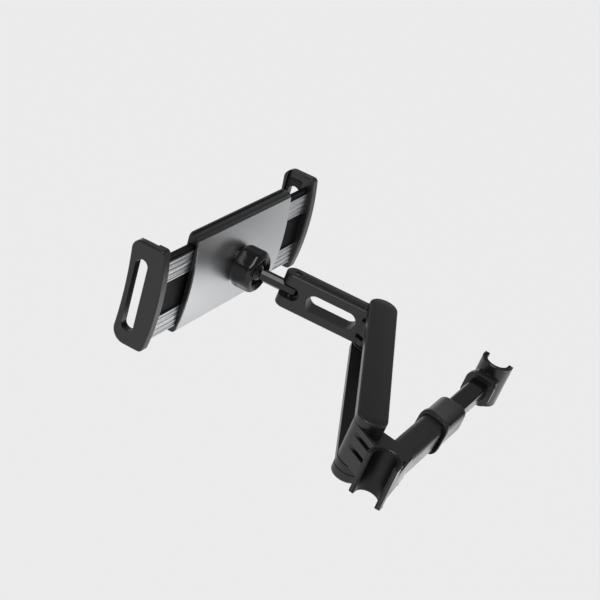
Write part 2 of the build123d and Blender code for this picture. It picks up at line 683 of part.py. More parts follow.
with BuildPart() as wrist_pin:
    disc(short_arm_frame, STRIP_T - SHORT_H / 2, SHORT_H / 2 - STRIP_T, WRIST_PIN_R, (WRIST_S, 0))
save(wrist_pin, "wrist_pin")

# Ball joint: stem with its ball, two liners, the cup and the collar nut
with BuildPart() as ball_stem:
    tip = SHORT_LEN - STEM_LEN
    with BuildSketch(short_arm_frame.offset(-STEM_H / 2)):
        with Locations((tip + STEM_W / 2, 0)):
            Circle(STEM_W / 2)
        with Locations(((tip + STEM_W / 2 + SHORT_LEN) / 2, 0)):
            Rectangle(SHORT_LEN - tip - STEM_W / 2, STEM_W)
    extrude(amount=STEM_H)
    chamfer(ball_stem.faces().sort_by(Axis.Z)[-1].edges(), STEM_EDGE)
    chamfer(ball_stem.faces().sort_by(Axis.Z)[0].edges(), STEM_EDGE)
    with Locations(short_arm_frame.from_local_coords((SHORT_LEN, 0, 0))):
        Sphere(BALL_R)
    disc(
        short_arm_frame, -STEM_H, STEM_H, WRIST_PIN_R + RUNNING_FIT, (WRIST_S, 0), mode=Mode.SUBTRACT
    )
save(ball_stem, "ball_stem")


def cup_screw_spots(low, high, radius, mode=Mode.ADD):
    """Four discs round the ball axis, where the cup is screwed to the rear shell."""
    with BuildSketch(cradle_frame.offset(low)) as spots:
        with PolarLocations(CUP_SCREW_RING, 4, start_angle=45):
            Circle(radius)
    extrude(spots.sketch, amount=high - low, mode=mode)


ball_centre = cradle_frame.origin

with BuildPart() as ball_liner:
    with Locations(ball_centre):
        Sphere(LINER_OUT_R)
        Sphere(LINER_BALL_R, mode=Mode.SUBTRACT)
    disc(cradle_frame, BALL_LINER_FRONT, 2 * BALL_R, 2 * BALL_R, mode=Mode.SUBTRACT)
save(ball_liner, "ball_liner")

with BuildPart() as seat_ring:
    disc(cradle_frame, -SEAT_RING_BACK, SEAT_RING_FRONT, SEAT_OUT_R)
    with Locations(ball_centre):
        Sphere(SEAT_IN_R, mode=Mode.SUBTRACT)
save(seat_ring, "seat_ring")

with BuildPart() as socket_cup:
    disc(cradle_frame, CUP_BASE_Z, CUP_RIM, CUP_R)
    disc(cradle_frame, -SEAT_RING_BACK - BALL_GAP, CUP_RIM, CUP_BORE_R, mode=Mode.SUBTRACT)
    disc(cradle_frame, CUP_FLOOR_Z, CUP_RIM, SEAT_IN_R, mode=Mode.SUBTRACT)
    cup_screw_spots(
        CUP_BASE_Z, CUP_BASE_Z + CUP_SCREW_BITE + SEAT_FIT, CUP_SCREW_R + SEAT_FIT, Mode.SUBTRACT
    )
save(socket_cup, "socket_cup")

with BuildPart() as collar_nut:
    disc(cradle_frame, -COLLAR_NUT_BACK, NUT_LIP_Z + COLLAR_NUT_LIP, COLLAR_NUT_R)
    fillet(collar_nut.edges().filter_by(GeomType.CIRCLE), COLLAR_NUT_ROUND)
    disc(cradle_frame, -COLLAR_NUT_BACK, NUT_LIP_Z, NUT_BORE_R, mode=Mode.SUBTRACT)
    disc(cradle_frame, -COLLAR_NUT_BACK, 2 * COLLAR_NUT_R, COLLAR_NUT_MOUTH, mode=Mode.SUBTRACT)
    ball_axis = Axis(cradle_frame.origin, cradle_frame.z_dir)
    front_ring = collar_nut.faces().filter_by(GeomType.PLANE).sort_by(ball_axis)[-1]
    chamfer(front_ring.inner_wires()[0].edges(), COLLAR_NUT_FLARE)
save(collar_nut, "collar_nut")


# Cradle shells: the rear shell is bowed and carries the back plate


def bowed_block(depth, half_height, low, x_half, corner=0.0, mode=Mode.ADD):
    """Block across the cradle with a flat front and a back that bows out in the middle."""
    crown = -SHELL_BACK - depth
    radius = PLATE_RADIUS - depth
    edge = crown - (radius - sqrt(radius ** 2 - half_height ** 2))
    with BuildSketch(cradle_side(-x_half)) as section:
        with BuildLine():
            Polyline((half_height, edge), (half_height, low), (-half_height, low), (-half_height, edge))
            ThreePointArc((-half_height, edge), (0, crown), (half_height, edge))
        make_face()
        if corner:
            fillet(section.vertices().sort_by(Axis.Y)[-2:], corner)
    extrude(section.sketch, amount=2 * x_half, mode=mode)


with BuildPart() as back_plate:
    plate_half = SHELL_W / 2 - BACK_PLATE_MARGIN
    bowed_block(0, SHELL_H / 2 - BACK_PLATE_BORDER, -TABLET_SEAT, plate_half)
    bowed_block(BACK_PLATE_T, SHELL_H / 2, -2 * TABLET_SEAT, SHELL_W, mode=Mode.SUBTRACT)
    disc(cradle_frame, -TABLET_SEAT, 0, CUP_R + SLIDE_GAP, mode=Mode.SUBTRACT)
save(back_plate, "back_plate")

screw_x = SHELL_W / 2 - SHELL_SCREW_INSET
screw_y = (SHELL_H / 2 + TONGUE_H / 2 + SLIDE_PLAY) / 2
screw_spots = [
    (side_x * screw_x, side_y * screw_y)
    for side_x in (-1, 1)
    for side_y in (-1, 1)
]

with BuildPart() as rear_shell:
    bowed_block(BACK_PLATE_T, SHELL_H / 2, SEAM_Z, SHELL_W / 2, SHELL_CORNER)
    bay_half = TONGUE_H / 2 + SLIDE_PLAY
    slab(
        cradle_frame, SEAM_Z, RAIL_TOP + SLIDE_PLAY, (-SHELL_W, SHELL_W), (-bay_half, bay_half),
        mode=Mode.SUBTRACT,
    )
    gear_half = RACK_BACK + SLIDE_PLAY
    slab(
        cradle_frame, SEAM_Z, POCKET_TOP, (FRONT_T - SHELL_W / 2, SHELL_W / 2 - FRONT_T),
        (-gear_half, gear_half), mode=Mode.SUBTRACT,
    )
    disc(cradle_frame, CUP_BASE_Z, 0, CUP_R + SLIDE_GAP, mode=Mode.SUBTRACT)
    cup_screw_spots(POCKET_TOP, CUP_BASE_Z, CUP_SCREW_R + SEAT_FIT, Mode.SUBTRACT)
    cup_screw_spots(
        POCKET_TOP, POCKET_TOP + CUP_SCREW_HEAD_H, CUP_SCREW_HEAD_R + SEAT_FIT, Mode.SUBTRACT
    )
    with BuildSketch(cradle_frame.offset(SEAM_Z)):
        with Locations(*screw_spots):
            Circle(SHELL_SCREW_R + SEAT_FIT)
    extrude(amount=SHELL_SCREW_BITE + SEAT_FIT, mode=Mode.SUBTRACT)
save(rear_shell, "rear_shell")

with BuildPart() as cup_screws:
    cup_screw_spots(POCKET_TOP, CUP_BASE_Z + CUP_SCREW_BITE, CUP_SCREW_R)
    cup_screw_spots(POCKET_TOP, POCKET_TOP + CUP_SCREW_HEAD_H, CUP_SCREW_HEAD_R)
save(cup_screws, "cup_screws")

with BuildPart() as front_shell:
    slab(
        cradle_frame, FRONT_Z, SEAM_Z, (-SHELL_W / 2, SHELL_W / 2),
        (-SHELL_H / 2 - FRONT_RIDGE, SHELL_H / 2 + FRONT_RIDGE), BACK_PLATE_RADIUS,
    )
    disc(cradle_frame, SEAM_Z, TONGUE_Z + TONGUE_T, AXLE_R + FRONT_T)
    disc(cradle_frame, SEAM_Z, 0, AXLE_R + SEAT_FIT, mode=Mode.SUBTRACT)
    with BuildSketch(cradle_frame.offset(FRONT_Z)):
        with Locations(*screw_spots):
            Circle(SHELL_SCREW_R + SEAT_FIT)
    extrude(amount=FRONT_T, mode=Mode.SUBTRACT)
save(front_shell, "front_shell")

with BuildPart() as front_pad:
    slab(
        cradle_frame, PAD_Z, FRONT_Z, (PAD_MARGIN - SHELL_W / 2, SHELL_W / 2 - PAD_MARGIN),
        (2 * PAD_MARGIN - SHELL_H / 2, SHELL_H / 2 - 2 * PAD_MARGIN), BACK_PLATE_RADIUS,
    )
save(front_pad, "front_pad")

with BuildPart() as shell_screws:
    with BuildSketch(cradle_frame.offset(FRONT_Z - PAD_T / 2)):
        with Locations(*screw_spots):
            Circle(SHELL_SCREW_HEAD_R)
    extrude(amount=PAD_T / 2)
    with BuildSketch(cradle_frame.offset(FRONT_Z)):
        with Locations(*screw_spots):
            Circle(SHELL_SCREW_R)
    extrude(amount=FRONT_T + SHELL_SCREW_BITE)
save(shell_screws, "shell_screws")

# Pinion on its axle, with straight-sided teeth
tooth_tip = TOOTH_T / 2 - ADDENDUM * FLANK
tooth_root = TOOTH_T / 2 + DEDENDUM * FLANK

with BuildPart() as pinion:
    with BuildSketch(cradle_frame.offset(GEAR_Z)):
        Circle(PINION_R - DEDENDUM)
        with PolarLocations(0, PINION_TEETH):
            with BuildLine():
                Polyline(
                    (PINION_R - DEDENDUM - GEAR_MODULE / 2, -TOOTH_T / 2),
                    (PINION_R, -TOOTH_T / 2),
                    (PINION_R + ADDENDUM, -tooth_tip),
                    (PINION_R + ADDENDUM, tooth_tip),
                    (PINION_R, TOOTH_T / 2),
                    (PINION_R - DEDENDUM - GEAR_MODULE / 2, TOOTH_T / 2),
                    close=True,
                )
            make_face()
        Circle(AXLE_R + RUNNING_FIT, mode=Mode.SUBTRACT)
    extrude(amount=GEAR_T)
save(pinion, "pinion")

with BuildPart() as pinion_axle:
    disc(cradle_frame, SEAM_Z, POCKET_TOP, AXLE_R)
save(pinion_axle, "pinion_axle")


def clamp_screws(side, low, length, radius, mode=Mode.ADD):
    """Two discs where a clamp is screwed to its tongue."""
    across = side * (CLAMP_IN + CLAMP_INNER_WALL) / 2
    with BuildSketch(cradle_frame.offset(low)) as spots:
        with Locations((across, CLAMP_SCREW_Y), (across, -CLAMP_SCREW_Y)):
            Circle(radius)
    extrude(spots.sketch, amount=length, mode=mode)


def slider(name, side):
    """Tongue of one clamp with its rack; side is the sign of the clamp along the cradle's width."""
    with BuildPart() as part:
        tongue = sorted((side * TONGUE_IN, side * TONGUE_OUT))
        slab(cradle_frame, TONGUE_Z, RAIL_Z, tongue, (-TONGUE_H / 2, TONGUE_H / 2))
        rack_root = -side * (PINION_R + DEDENDUM)
        rack_back = -side * RACK_BACK
        rack_y = sorted((rack_root, rack_back))
        riser = sorted((side * TONGUE_IN, side * RISER_END))
        rack_x = sorted((-side * RACK_REACH, riser[1] if side > 0 else riser[0]))
        slab(cradle_frame, RAIL_Z, GEAR_TOP, riser, rack_y)
        slab(cradle_frame, GEAR_Z, GEAR_TOP, rack_x, rack_y)
        first = -int(RACK_REACH / TOOTH_PITCH)
        last = int((CLAMP_CLOSE + TOOTH_PITCH) / TOOTH_PITCH) + 1
        with BuildSketch(cradle_frame.offset(GEAR_Z)) as teeth:
            for index in range(first, last):
                middle = side * (index + 0.5) * TOOTH_PITCH
                with BuildLine():
                    Polyline(
                        (middle - tooth_root, rack_root),
                        (middle - tooth_tip, rack_root + side * (DEDENDUM + ADDENDUM)),
                        (middle + tooth_tip, rack_root + side * (DEDENDUM + ADDENDUM)),
                        (middle + tooth_root, rack_root),
                        close=True,
                    )
                make_face()
        extrude(teeth.sketch, amount=GEAR_T)
        clamp_screws(
            side, TONGUE_Z, CLAMP_SCREW_BITE + SEAT_FIT, CLAMP_SCREW_R + SEAT_FIT, Mode.SUBTRACT
        )
    save(part, name)


def rail(name, side, middle):
    """Grooved strip along a tongue, at a height above the tongue's middle."""
    with BuildPart() as part:
        x_range = sorted((side * TONGUE_IN, side * (CLAMP_IN - SEAT_FIT)))
        slab(cradle_frame, RAIL_Z, RAIL_TOP, x_range, (middle - RAIL_H / 2, middle + RAIL_H / 2))
        for index in range(RAIL_GROOVES):
            groove = middle + (index - (RAIL_GROOVES - 1) / 2) * RAIL_H / RAIL_GROOVES
            slab(
                cradle_frame, RAIL_TOP - RAIL_GROOVE_DEPTH, RAIL_TOP, x_range,
                (groove - RAIL_GROOVE_W / 2, groove + RAIL_GROOVE_W / 2), mode=Mode.SUBTRACT,
            )
    save(part, name)


def clamp(side_name, side):
    """Side clamp with its hooked lips and slot, the pad on its inner wall and its two screws."""
    with BuildPart() as hook:
        with BuildSketch(cradle_side(side * CLAMP_IN)) as outline:
            with BuildLine():
                Line((CLAMP_TOP, -CLAMP_BACK_END), (CLAMP_TOP, CLAMP_FRONT_Z))
                ThreePointArc(
                    (CLAMP_TOP, CLAMP_FRONT_Z),
                    (0, CLAMP_FRONT_Z + CLAMP_LIP_DIP),
                    (-CLAMP_BOTTOM, CLAMP_FRONT_Z),
                )
                Line((-CLAMP_BOTTOM, CLAMP_FRONT_Z), (-CLAMP_BOTTOM, -CLAMP_BACK_END))
                ThreePointArc(
                    (-CLAMP_BOTTOM, -CLAMP_BACK_END), (0, -CLAMP_BACK_MID), (CLAMP_TOP, -CLAMP_BACK_END)
                )
            make_face()
            fillet(outline.vertices().group_by(Axis.X)[0].sort_by(Axis.Y)[0], CLAMP_TOE)
            fillet(outline.vertices().group_by(Axis.X)[0].sort_by(Axis.Y)[-1], CLAMP_HEEL)
            fillet(outline.vertices().group_by(Axis.X)[-1].sort_by(Axis.Y)[0], CLAMP_CORNER)
            fillet(outline.vertices().group_by(Axis.X)[-1].sort_by(Axis.Y)[-1], CLAMP_HEEL)
        extrude(outline.sketch, amount=side * (CLAMP_OUT - CLAMP_IN))
        for end_face in (hook.faces().sort_by(Axis.X)[0], hook.faces().sort_by(Axis.X)[-1]):
            fillet(end_face.edges(), CLAMP_EDGE)
        mouth = sorted((side * (CLAMP_IN - CLAMP_HOOK), side * CLAMP_INNER_WALL))
        slab(
            cradle_frame, CLAMP_MOUTH_Z, PAD_Z, mouth, (-2 * CLAMP_BOTTOM, 2 * CLAMP_TOP),
            mode=Mode.SUBTRACT,
        )
        pocket = sorted((side * (CLAMP_IN - CLAMP_HOOK), side * (TONGUE_OUT + SEAT_FIT)))
        half = TONGUE_H / 2 + SEAT_FIT
        slab(
            cradle_frame, TONGUE_Z - SEAT_FIT, RAIL_Z + SEAT_FIT, pocket, (-half, half),
            mode=Mode.SUBTRACT,
        )
        with BuildSketch(cradle_side(side * CLAMP_IN)) as slot:
            with Locations((0, SLOT_Z)):
                SlotOverall(CLAMP_SLOT_LEN, CLAMP_SLOT_W)
        extrude(slot.sketch, amount=side * (CLAMP_OUT - CLAMP_IN), mode=Mode.SUBTRACT)
        clamp_screws(side, PAD_Z, TONGUE_Z - PAD_Z, CLAMP_SCREW_R + SEAT_FIT, Mode.SUBTRACT)
    save(hook, side_name + "_clamp")

    with BuildPart() as pad:
        with BuildSketch(cradle_side(side * GRIP_HALF)) as face:
            with Locations(((CLAMP_TOP - CLAMP_BOTTOM) / 2, (PAD_Z + CLAMP_MOUTH_Z) / 2)):
                RectangleRounded(
                    CLAMP_TOP + CLAMP_BOTTOM - 2 * CLAMP_CORNER, CLAMP_MOUTH, CLAMP_CORNER / 2
                )
            with Locations((0, SLOT_Z)):
                SlotOverall(CLAMP_SLOT_LEN, CLAMP_SLOT_W, mode=Mode.SUBTRACT)
        extrude(face.sketch, amount=side * CLAMP_PAD_T)
    save(pad, side_name + "_clamp_pad")

    with BuildPart() as screws:
        clamp_screws(side, PAD_Z, TONGUE_Z + CLAMP_SCREW_BITE - PAD_Z, CLAMP_SCREW_R)
    save(screws, side_name + "_clamp_screws")


for side_name, side in (("left", -1), ("right", 1)):
    slider(side_name + "_slider", side)
    rail(side_name + "_upper_rail", side, UPPER_RAIL_Y)
    rail(side_name + "_lower_rail", side, LOWER_RAIL_Y)
    clamp(side_name, side)
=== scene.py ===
"""Looks of the headrest tablet mount: finishes, rounded edges, soft parts, stage and camera."""

import json
from math import cos, pi, radians, sin

import bpy
from bpy.props import FloatProperty, FloatVectorProperty, IntProperty, PointerProperty
from bpy.types import Operator, Panel, PropertyGroup
from mathutils import Matrix, Vector


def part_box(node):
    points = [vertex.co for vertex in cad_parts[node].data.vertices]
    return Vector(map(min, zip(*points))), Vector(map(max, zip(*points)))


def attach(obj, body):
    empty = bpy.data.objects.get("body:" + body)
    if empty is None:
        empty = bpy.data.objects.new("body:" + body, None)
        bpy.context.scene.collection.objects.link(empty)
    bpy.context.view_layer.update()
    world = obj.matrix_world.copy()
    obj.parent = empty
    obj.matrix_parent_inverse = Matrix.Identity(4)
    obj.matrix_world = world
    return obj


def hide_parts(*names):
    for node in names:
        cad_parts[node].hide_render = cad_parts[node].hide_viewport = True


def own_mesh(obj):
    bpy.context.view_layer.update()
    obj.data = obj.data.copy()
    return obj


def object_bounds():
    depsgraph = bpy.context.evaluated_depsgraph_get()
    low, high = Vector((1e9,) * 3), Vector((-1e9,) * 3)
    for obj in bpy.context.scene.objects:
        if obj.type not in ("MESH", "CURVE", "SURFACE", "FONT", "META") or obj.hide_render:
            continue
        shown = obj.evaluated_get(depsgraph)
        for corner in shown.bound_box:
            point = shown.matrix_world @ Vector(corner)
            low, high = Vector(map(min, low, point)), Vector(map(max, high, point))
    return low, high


bl_info = {
    "name": "Headrest tablet mount",
    "version": (1, 0, 0),
    "blender": (4, 5, 0),
    "location": "3D View > Sidebar > Mount",
    "description": "Dresses the packed tablet mount with finishes, soft parts and fine detail",
    "category": "Object",
}

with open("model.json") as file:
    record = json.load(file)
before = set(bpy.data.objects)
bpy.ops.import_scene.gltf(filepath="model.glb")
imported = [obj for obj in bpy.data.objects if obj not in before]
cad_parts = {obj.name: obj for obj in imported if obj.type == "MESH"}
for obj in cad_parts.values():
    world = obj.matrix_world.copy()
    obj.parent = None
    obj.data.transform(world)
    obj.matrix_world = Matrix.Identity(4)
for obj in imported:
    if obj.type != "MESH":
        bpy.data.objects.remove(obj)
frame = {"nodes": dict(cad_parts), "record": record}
cad_low, cad_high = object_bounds()
record = frame["record"]
slot_of = {part["node"]: part["material_slot"] for part in record["subparts"]}
body_of = {node: body for body, nodes in record["behaviour"]["bodies"].items() for node in nodes}
mount_of = {mount["name"]: mount for mount in record["mounts"]}
joint_of = {joint["name"]: joint for joint in record["behaviour"]["joints"]}

MM = 0.001
SMOOTH_ANGLE = radians(32)
WELD = 0.001 * MM

# Cosines above which a face counts as flat to a direction, or as turned to it at all
FLAT = 0.99
TURNED = 0.8

# Faces round a full circle about a post, round each lobe of the nut and on its edges, and the
# steps of a bead
CIRCLE_STEPS = 96
LOBE_STEPS = 24
NUT_EDGE_STEPS = 6
BEAD_STEPS = 3

# Length of the cross in a screw head to the width of its slots
RECESS_RATIO = 4

# Rays that round an edge in a material, and the span of nearly all values of a noise
EDGE_RAYS = 6
NOISE_SPAN = (0.3, 0.7)

# The photograph's view: where the camera stands, how it is turned and how long its lens is
CAMERA_AT = Vector((-0.7000, -0.1555, 0.4698))
CAMERA_RIGHT = Vector((0.4724, -0.8092, 0.3492))
CAMERA_UP = Vector((0.2888, 0.5163, 0.8062))
FOCAL_PX = 1578.5
IMAGE_PX = 600
SENSOR_MM = 36.0

# Where the white card, the dark cloth and the softbox stand, in metres: the card off the bar's
# middle, the cloth off the ball and the softbox off the mount's middle
CARD_WAY = Vector((0.83, -0.28, -0.48)).normalized()
CARD_DISTANCE = 0.18
CARD_SIZE = (0.22, 0.12)
CLOTH_AT = Vector((0.210, -0.233, -0.047))
CLOTH_WAY = Vector((0.857, -0.515, 0))
CLOTH_SIZE = (0.215, 0.215)
SOFTBOX_AT = Vector((-0.28, 0.05, 0.75))
SOFTBOX_SIZE = (0.34, 0.75)

# The floor's own colour under its glow, and the height on the unit sphere where the room is at
# its dimmest
FLOOR_SHADE = "#202020"
DIM_HEIGHT = 0.42

# The cradle's own axes: across it, up it and out of its back, at the ball's centre
BALL = Vector(joint_of["ball_roll"]["pos_m"])
CRADLE_OUT = Vector(joint_of["ball_roll"]["axis"])
CRADLE_ACROSS = Vector((1, 0, 0))
CRADLE_UP = CRADLE_OUT.cross(CRADLE_ACROSS)


def linear(hex_colour):
    """Linear RGB of an sRGB hex colour."""
    parts = [int(hex_colour[i:i + 2], 16) / 255 for i in (1, 3, 5)]
    return tuple(c / 12.92 if c <= 0.04045 else ((c + 0.055) / 1.055) ** 2.4 for c in parts)


def per_mm(size):
    """Texture scale that repeats a pattern every so many millimetres."""
    return 1 / (size * MM)


def colour_property(name, description, hex_colour):
    """Colour that a user can change."""
    return FloatVectorProperty(
        name=name, description=description, subtype="COLOR", size=3, min=0, max=1,
        default=linear(hex_colour),
    )


def length_property(name, description, size):
    """Length in millimetres that a user can change."""
    return FloatProperty(
        name=name, description=description, unit="LENGTH", min=0, default=size * MM,
    )


class MountFinishes(PropertyGroup):
    """Colours of the mount's materials."""

    plastic: colour_property("Moulded plastic", "Colour of the black mouldings", "#1e1e1f")
    inlay: colour_property("Arm strips", "Colour of the strips let into the arms", "#0f0f10")
    gloss: colour_property("Polished plastic", "Colour of the ball stem, cup and nut", "#0d0d0e")
    rubber: colour_property("Rubber", "Colour of the post liners and pads", "#0c0c0d")
    plate: colour_property("Back plate", "Colour of the satin aluminium plate", "#c9cacc")
    rail: colour_property("Rails", "Colour of the drawn aluminium rails", "#b9babc")
    steel: colour_property("Steel", "Colour of pins, screws and the spring", "#a8a9ab")


class MountEdges(PropertyGroup):
    """Edge radii of the pieces."""

    moulding: length_property(
        "Moulding edge", "Radius on the edges of collar, spacers and caps", 0.4,
    )
    fine: length_property("Fine edge", "Radius on the edges of strips, rails and liners", 0.15)
    segments: IntProperty(
        name="Steps", description="Faces across a rounded edge", min=1, max=6, default=3,
    )


class MountDetails(PropertyGroup):
    """Sizes of the fine detail."""

    pad_pitch: length_property("Pad rib pitch", "Distance from rib to rib on the rubber pads", 2.4)
    pad_groove: length_property("Pad groove", "Depth of the grooves in the rubber pads", 0.35)
    liner_lip: length_property("Liner lip", "Width of the lip at the ends of a post liner", 1.0)
    liner_end: length_property(
        "Liner lip height", "Height of the lip at the ends of a post liner", 0.8,
    )
    liner_bead: length_property("Liner bead", "Width of the beads beside the lip's groove", 0.5)
    liner_wall: length_property("Liner wall", "Thickness of a post liner", 0.95)
    liner_reach: length_property("Liner reach", "Length of a liner's straight sides", 3.2)
    lobes: IntProperty(name="Nut lobes", description="Grip lobes round the nut", min=3, default=8)
    lobe_depth: length_property("Lobe depth", "Depth of the hollows between the nut's lobes", 0.7)
    nut_front: length_property("Nut front edge", "Radius on the nut's front edge", 3.6)
    nut_back: length_property("Nut back edge", "Width by which the nut draws in at its back", 1.9)
    nut_wall: length_property("Nut wall", "Thickness of the nut's wall", 2.2)
    nut_lip: length_property("Nut lip", "Thickness of the lip that holds the ball in", 2.6)
    nut_mouth: length_property("Nut mouth", "Radius of the nut's mouth where it is narrowest", 9.0)
    nut_flare: length_property("Nut flare", "Depth of the mouth's cone", 2.2)
    recess: length_property("Screw recess", "Length of the cross in a screw head", 2.4)
    recess_depth: length_property("Recess depth", "Depth of the cross in a screw head", 0.6)
    bead_radius: length_property("Bead radius", "Radius of the beads on the saddles' rims", 0.7)
    bead_rise: length_property(
        "Bead rise", "Height of the beads' middle above the saddles' rims", 0.45,
    )
    tube_width: length_property("Tube width", "Side of the square outer tube", 16.0)
    cheek_length: length_property(
        "Cheek length", "Reach of the cheek from the near post's axis", 26.0,
    )
    cheek_seat: length_property("Cheek seat", "Depth to which the cheek reaches into the wall", 0.8)
    cheek_clear: length_property(
        "Cheek inset", "Depth of the cheek's start below the saddle's wall", 0.05,
    )
    cheek_round: length_property("Cheek edge", "Radius on the cheek's edges", 0.3)


class MountStage(PropertyGroup):
    """Floor, lights and surroundings."""

    floor_drop: FloatProperty(
        name="Floor drop", description="Distance from the mount's lowest point to the floor",
        unit="LENGTH", min=0, default=0.55,
    )
    floor_size: FloatProperty(
        name="Floor size", description="Side of the square floor",
        unit="LENGTH", min=1, default=40.0,
    )
    floor_glow: FloatProperty(
        name="Floor glow", description="Brightness of the lit floor", min=0, default=0.83,
    )
    sky_glow: FloatProperty(
        name="Ceiling glow", description="Brightness of the dim room overhead", min=0, default=0.2,
    )
    card_glow: FloatProperty(
        name="Card glow", description="Brightness of the white card below the bar",
        min=0, default=1.0,
    )
    softbox_glow: FloatProperty(
        name="Softbox glow", description="Brightness of the softbox overhead", min=0, default=3.8,
    )
    cloth_shade: colour_property(
        "Cloth", "Colour of the dark cloth that the back plate mirrors", "#505050",
    )


class MountSettings(PropertyGroup):
    """All settings of the mount."""

    finishes: PointerProperty(type=MountFinishes)
    edges: PointerProperty(type=MountEdges)
    details: PointerProperty(type=MountDetails)
    stage: PointerProperty(type=MountStage)


def add(tree, kind, values=None, links=None, **settings):
    """Add a node with its settings, the values of its inputs and the sockets linked to them."""
    made = tree.nodes.new(kind)
    for name, value in settings.items():
        setattr(made, name, value)
    for name, value in (values or {}).items():
        made.inputs[name].default_value = value
    for name, source in (links or {}).items():
        tree.links.new(source, made.inputs[name])
    return made


def start_material(name, colour, metallic, **values):
    """New material with its shader, whose plain values are set on its own sockets."""
    material = bpy.data.materials.new(name)
    material.use_nodes = True
    tree = material.node_tree
    shader = tree.nodes["Principled BSDF"]
    shader.inputs["Base Color"].default_value = (*colour, 1)
    shader.inputs["Metallic"].default_value = metallic
    for socket, value in values.items():
        shader.inputs[socket].default_value = value
    place = add(tree, "ShaderNodeTexCoord").outputs["Object"]
    return material, tree, shader, place


def grain(tree, place, size, stretch=(1, 1, 1), detail=2.0):
    """Noise whose grain has a size in millimetres, longer along the axes with a small stretch."""
    spread = add(tree, "ShaderNodeMapping", {"Scale": stretch}, {"Vector": place})
    noise = add(
        tree, "ShaderNodeTexNoise", {"Scale": per_mm(size), "Detail": detail},
        {"Vector": spread.outputs["Vector"]},
    )
    return noise.outputs["Fac"]


def surface(tree, shader, fine, broad, rough, strength, depth, edge=0):
    """Roughness that drifts with the broad noise, and a bump from the fine one.

    The bump's depth and the radius of the edges, if they are rounded, are in millimetres.
    """
    low, high = NOISE_SPAN
    drift = add(
        tree, "ShaderNodeMapRange",
        {"From Min": low, "From Max": high, "To Min": rough[0], "To Max": rough[1]},
        {"Value": broad},
    )
    bump = add(
        tree, "ShaderNodeBump", {"Strength": strength, "Distance": depth * MM}, {"Height": fine},
    )
    if edge:
        rounded = add(tree, "ShaderNodeBevel", {"Radius": edge * MM}, samples=EDGE_RAYS)
        tree.links.new(rounded.outputs["Normal"], bump.inputs["Normal"])
    tree.links.new(drift.outputs["Result"], shader.inputs["Roughness"])
    tree.links.new(bump.outputs["Normal"], shader.inputs["Normal"])


def speckle(tree, shader, colour, fine, spread):
    """Colour that varies a little with the fine noise."""
    shades = [(*[factor * c for c in colour], 1) for factor in (1 - spread, 1 + spread)]
    tint = add(
        tree, "ShaderNodeMix", {"A": shades[0], "B": shades[1]}, {"Factor": fine}, data_type="RGBA",
    )
    tree.links.new(tint.outputs["Result"], shader.inputs["Base Color"])


def moulded_nylon(colour):
    """Glass-filled black nylon from a spark-textured tool: an even satin with a fine grain."""
    material, tree, shader, place = start_material("moulded_nylon", colour, metallic=0)
    # The tool's grain is about 0.2 mm, drawn at 0.6 mm so that it shows at all
    fine = grain(tree, place, size=0.6)
    speckle(tree, shader, colour, fine, spread=0.2)
    surface(
        tree, shader, fine, grain(tree, place, size=14),
        rough=(0.3, 0.36), strength=0.04, depth=0.03, edge=0.45,
    )
    return material


def polished_nylon(colour):
    """Black nylon from a polished edge of the tool: the rims of the saddles draw light lines."""
    material, tree, shader, place = start_material("polished_nylon", colour, metallic=0)
    # The glass fibres below the skin are finer than 0.1 mm, drawn at 0.6 mm so that they show
    fine = grain(tree, place, size=0.6)
    speckle(tree, shader, colour, fine, spread=0.2)
    surface(
        tree, shader, fine, grain(tree, place, size=14),
        rough=(0.2, 0.26), strength=0.03, depth=0.03,
    )
    return material


def satin_abs(colour):
    """Black ABS strip from a smooth tool, left satin: darker and calmer than the nylon."""
    material, tree, shader, place = start_material("satin_abs", colour, metallic=0)
    # The tool's polishing marks are a few hundredths wide, drawn at 0.4 mm so that they show
    fine = grain(tree, place, size=0.4)
    speckle(tree, shader, colour, fine, spread=0.15)
    surface(
        tree, shader, fine, grain(tree, place, size=20),
        rough=(0.36, 0.42), strength=0.06, depth=0.03, edge=0.4,
    )
    return material


def moulded_acetal(colour):
    """Black acetal, moulded for sliding: nearly no gloss, the darkest of the plastics."""
    material, tree, shader, place = start_material("moulded_acetal", colour, metallic=0)
    shader.inputs["Specular IOR Level"].default_value = 0.12
    # Flow lines of about 0.2 mm, drawn at 0.6 mm so that they show
    fine = grain(tree, place, size=0.6)
    speckle(tree, shader, colour, fine, spread=0.2)
    surface(
        tree, shader, fine, grain(tree, place, size=10),
        rough=(0.5, 0.6), strength=0.08, depth=0.03, edge=0.3,
    )
    return material


def polished_abs(colour):
    """Black ABS from a polished tool: a deep gloss with a faint waviness in its reflections."""
    material, tree, shader, place = start_material("polished_abs", colour, metallic=0)
    # Sink marks over the ribs behind the surface lie about 3 mm apart
    wave = grain(tree, place, size=3.0, detail=1.0)
    speckle(tree, shader, colour, wave, spread=0.1)
    surface(
        tree, shader, wave, grain(tree, place, size=10),
        rough=(0.13, 0.2), strength=0.1, depth=0.04, edge=0.4,
    )
    return material


def moulded_rubber(colour):
    """Black silicone rubber, moulded matt: darker than the plastics, with a weak, wide shine."""
    material, tree, shader, place = start_material("moulded_rubber", colour, metallic=0)
    shader.inputs["Specular IOR Level"].default_value = 0.35
    # Dust specks of about 0.3 mm, drawn at 0.8 mm so that they show
    fine = grain(tree, place, size=0.8)
    speckle(tree, shader, colour, fine, spread=0.3)
    surface(
        tree, shader, fine, grain(tree, place, size=12),
        rough=(0.38, 0.48), strength=0.08, depth=0.04, edge=0.4,
    )
    return material


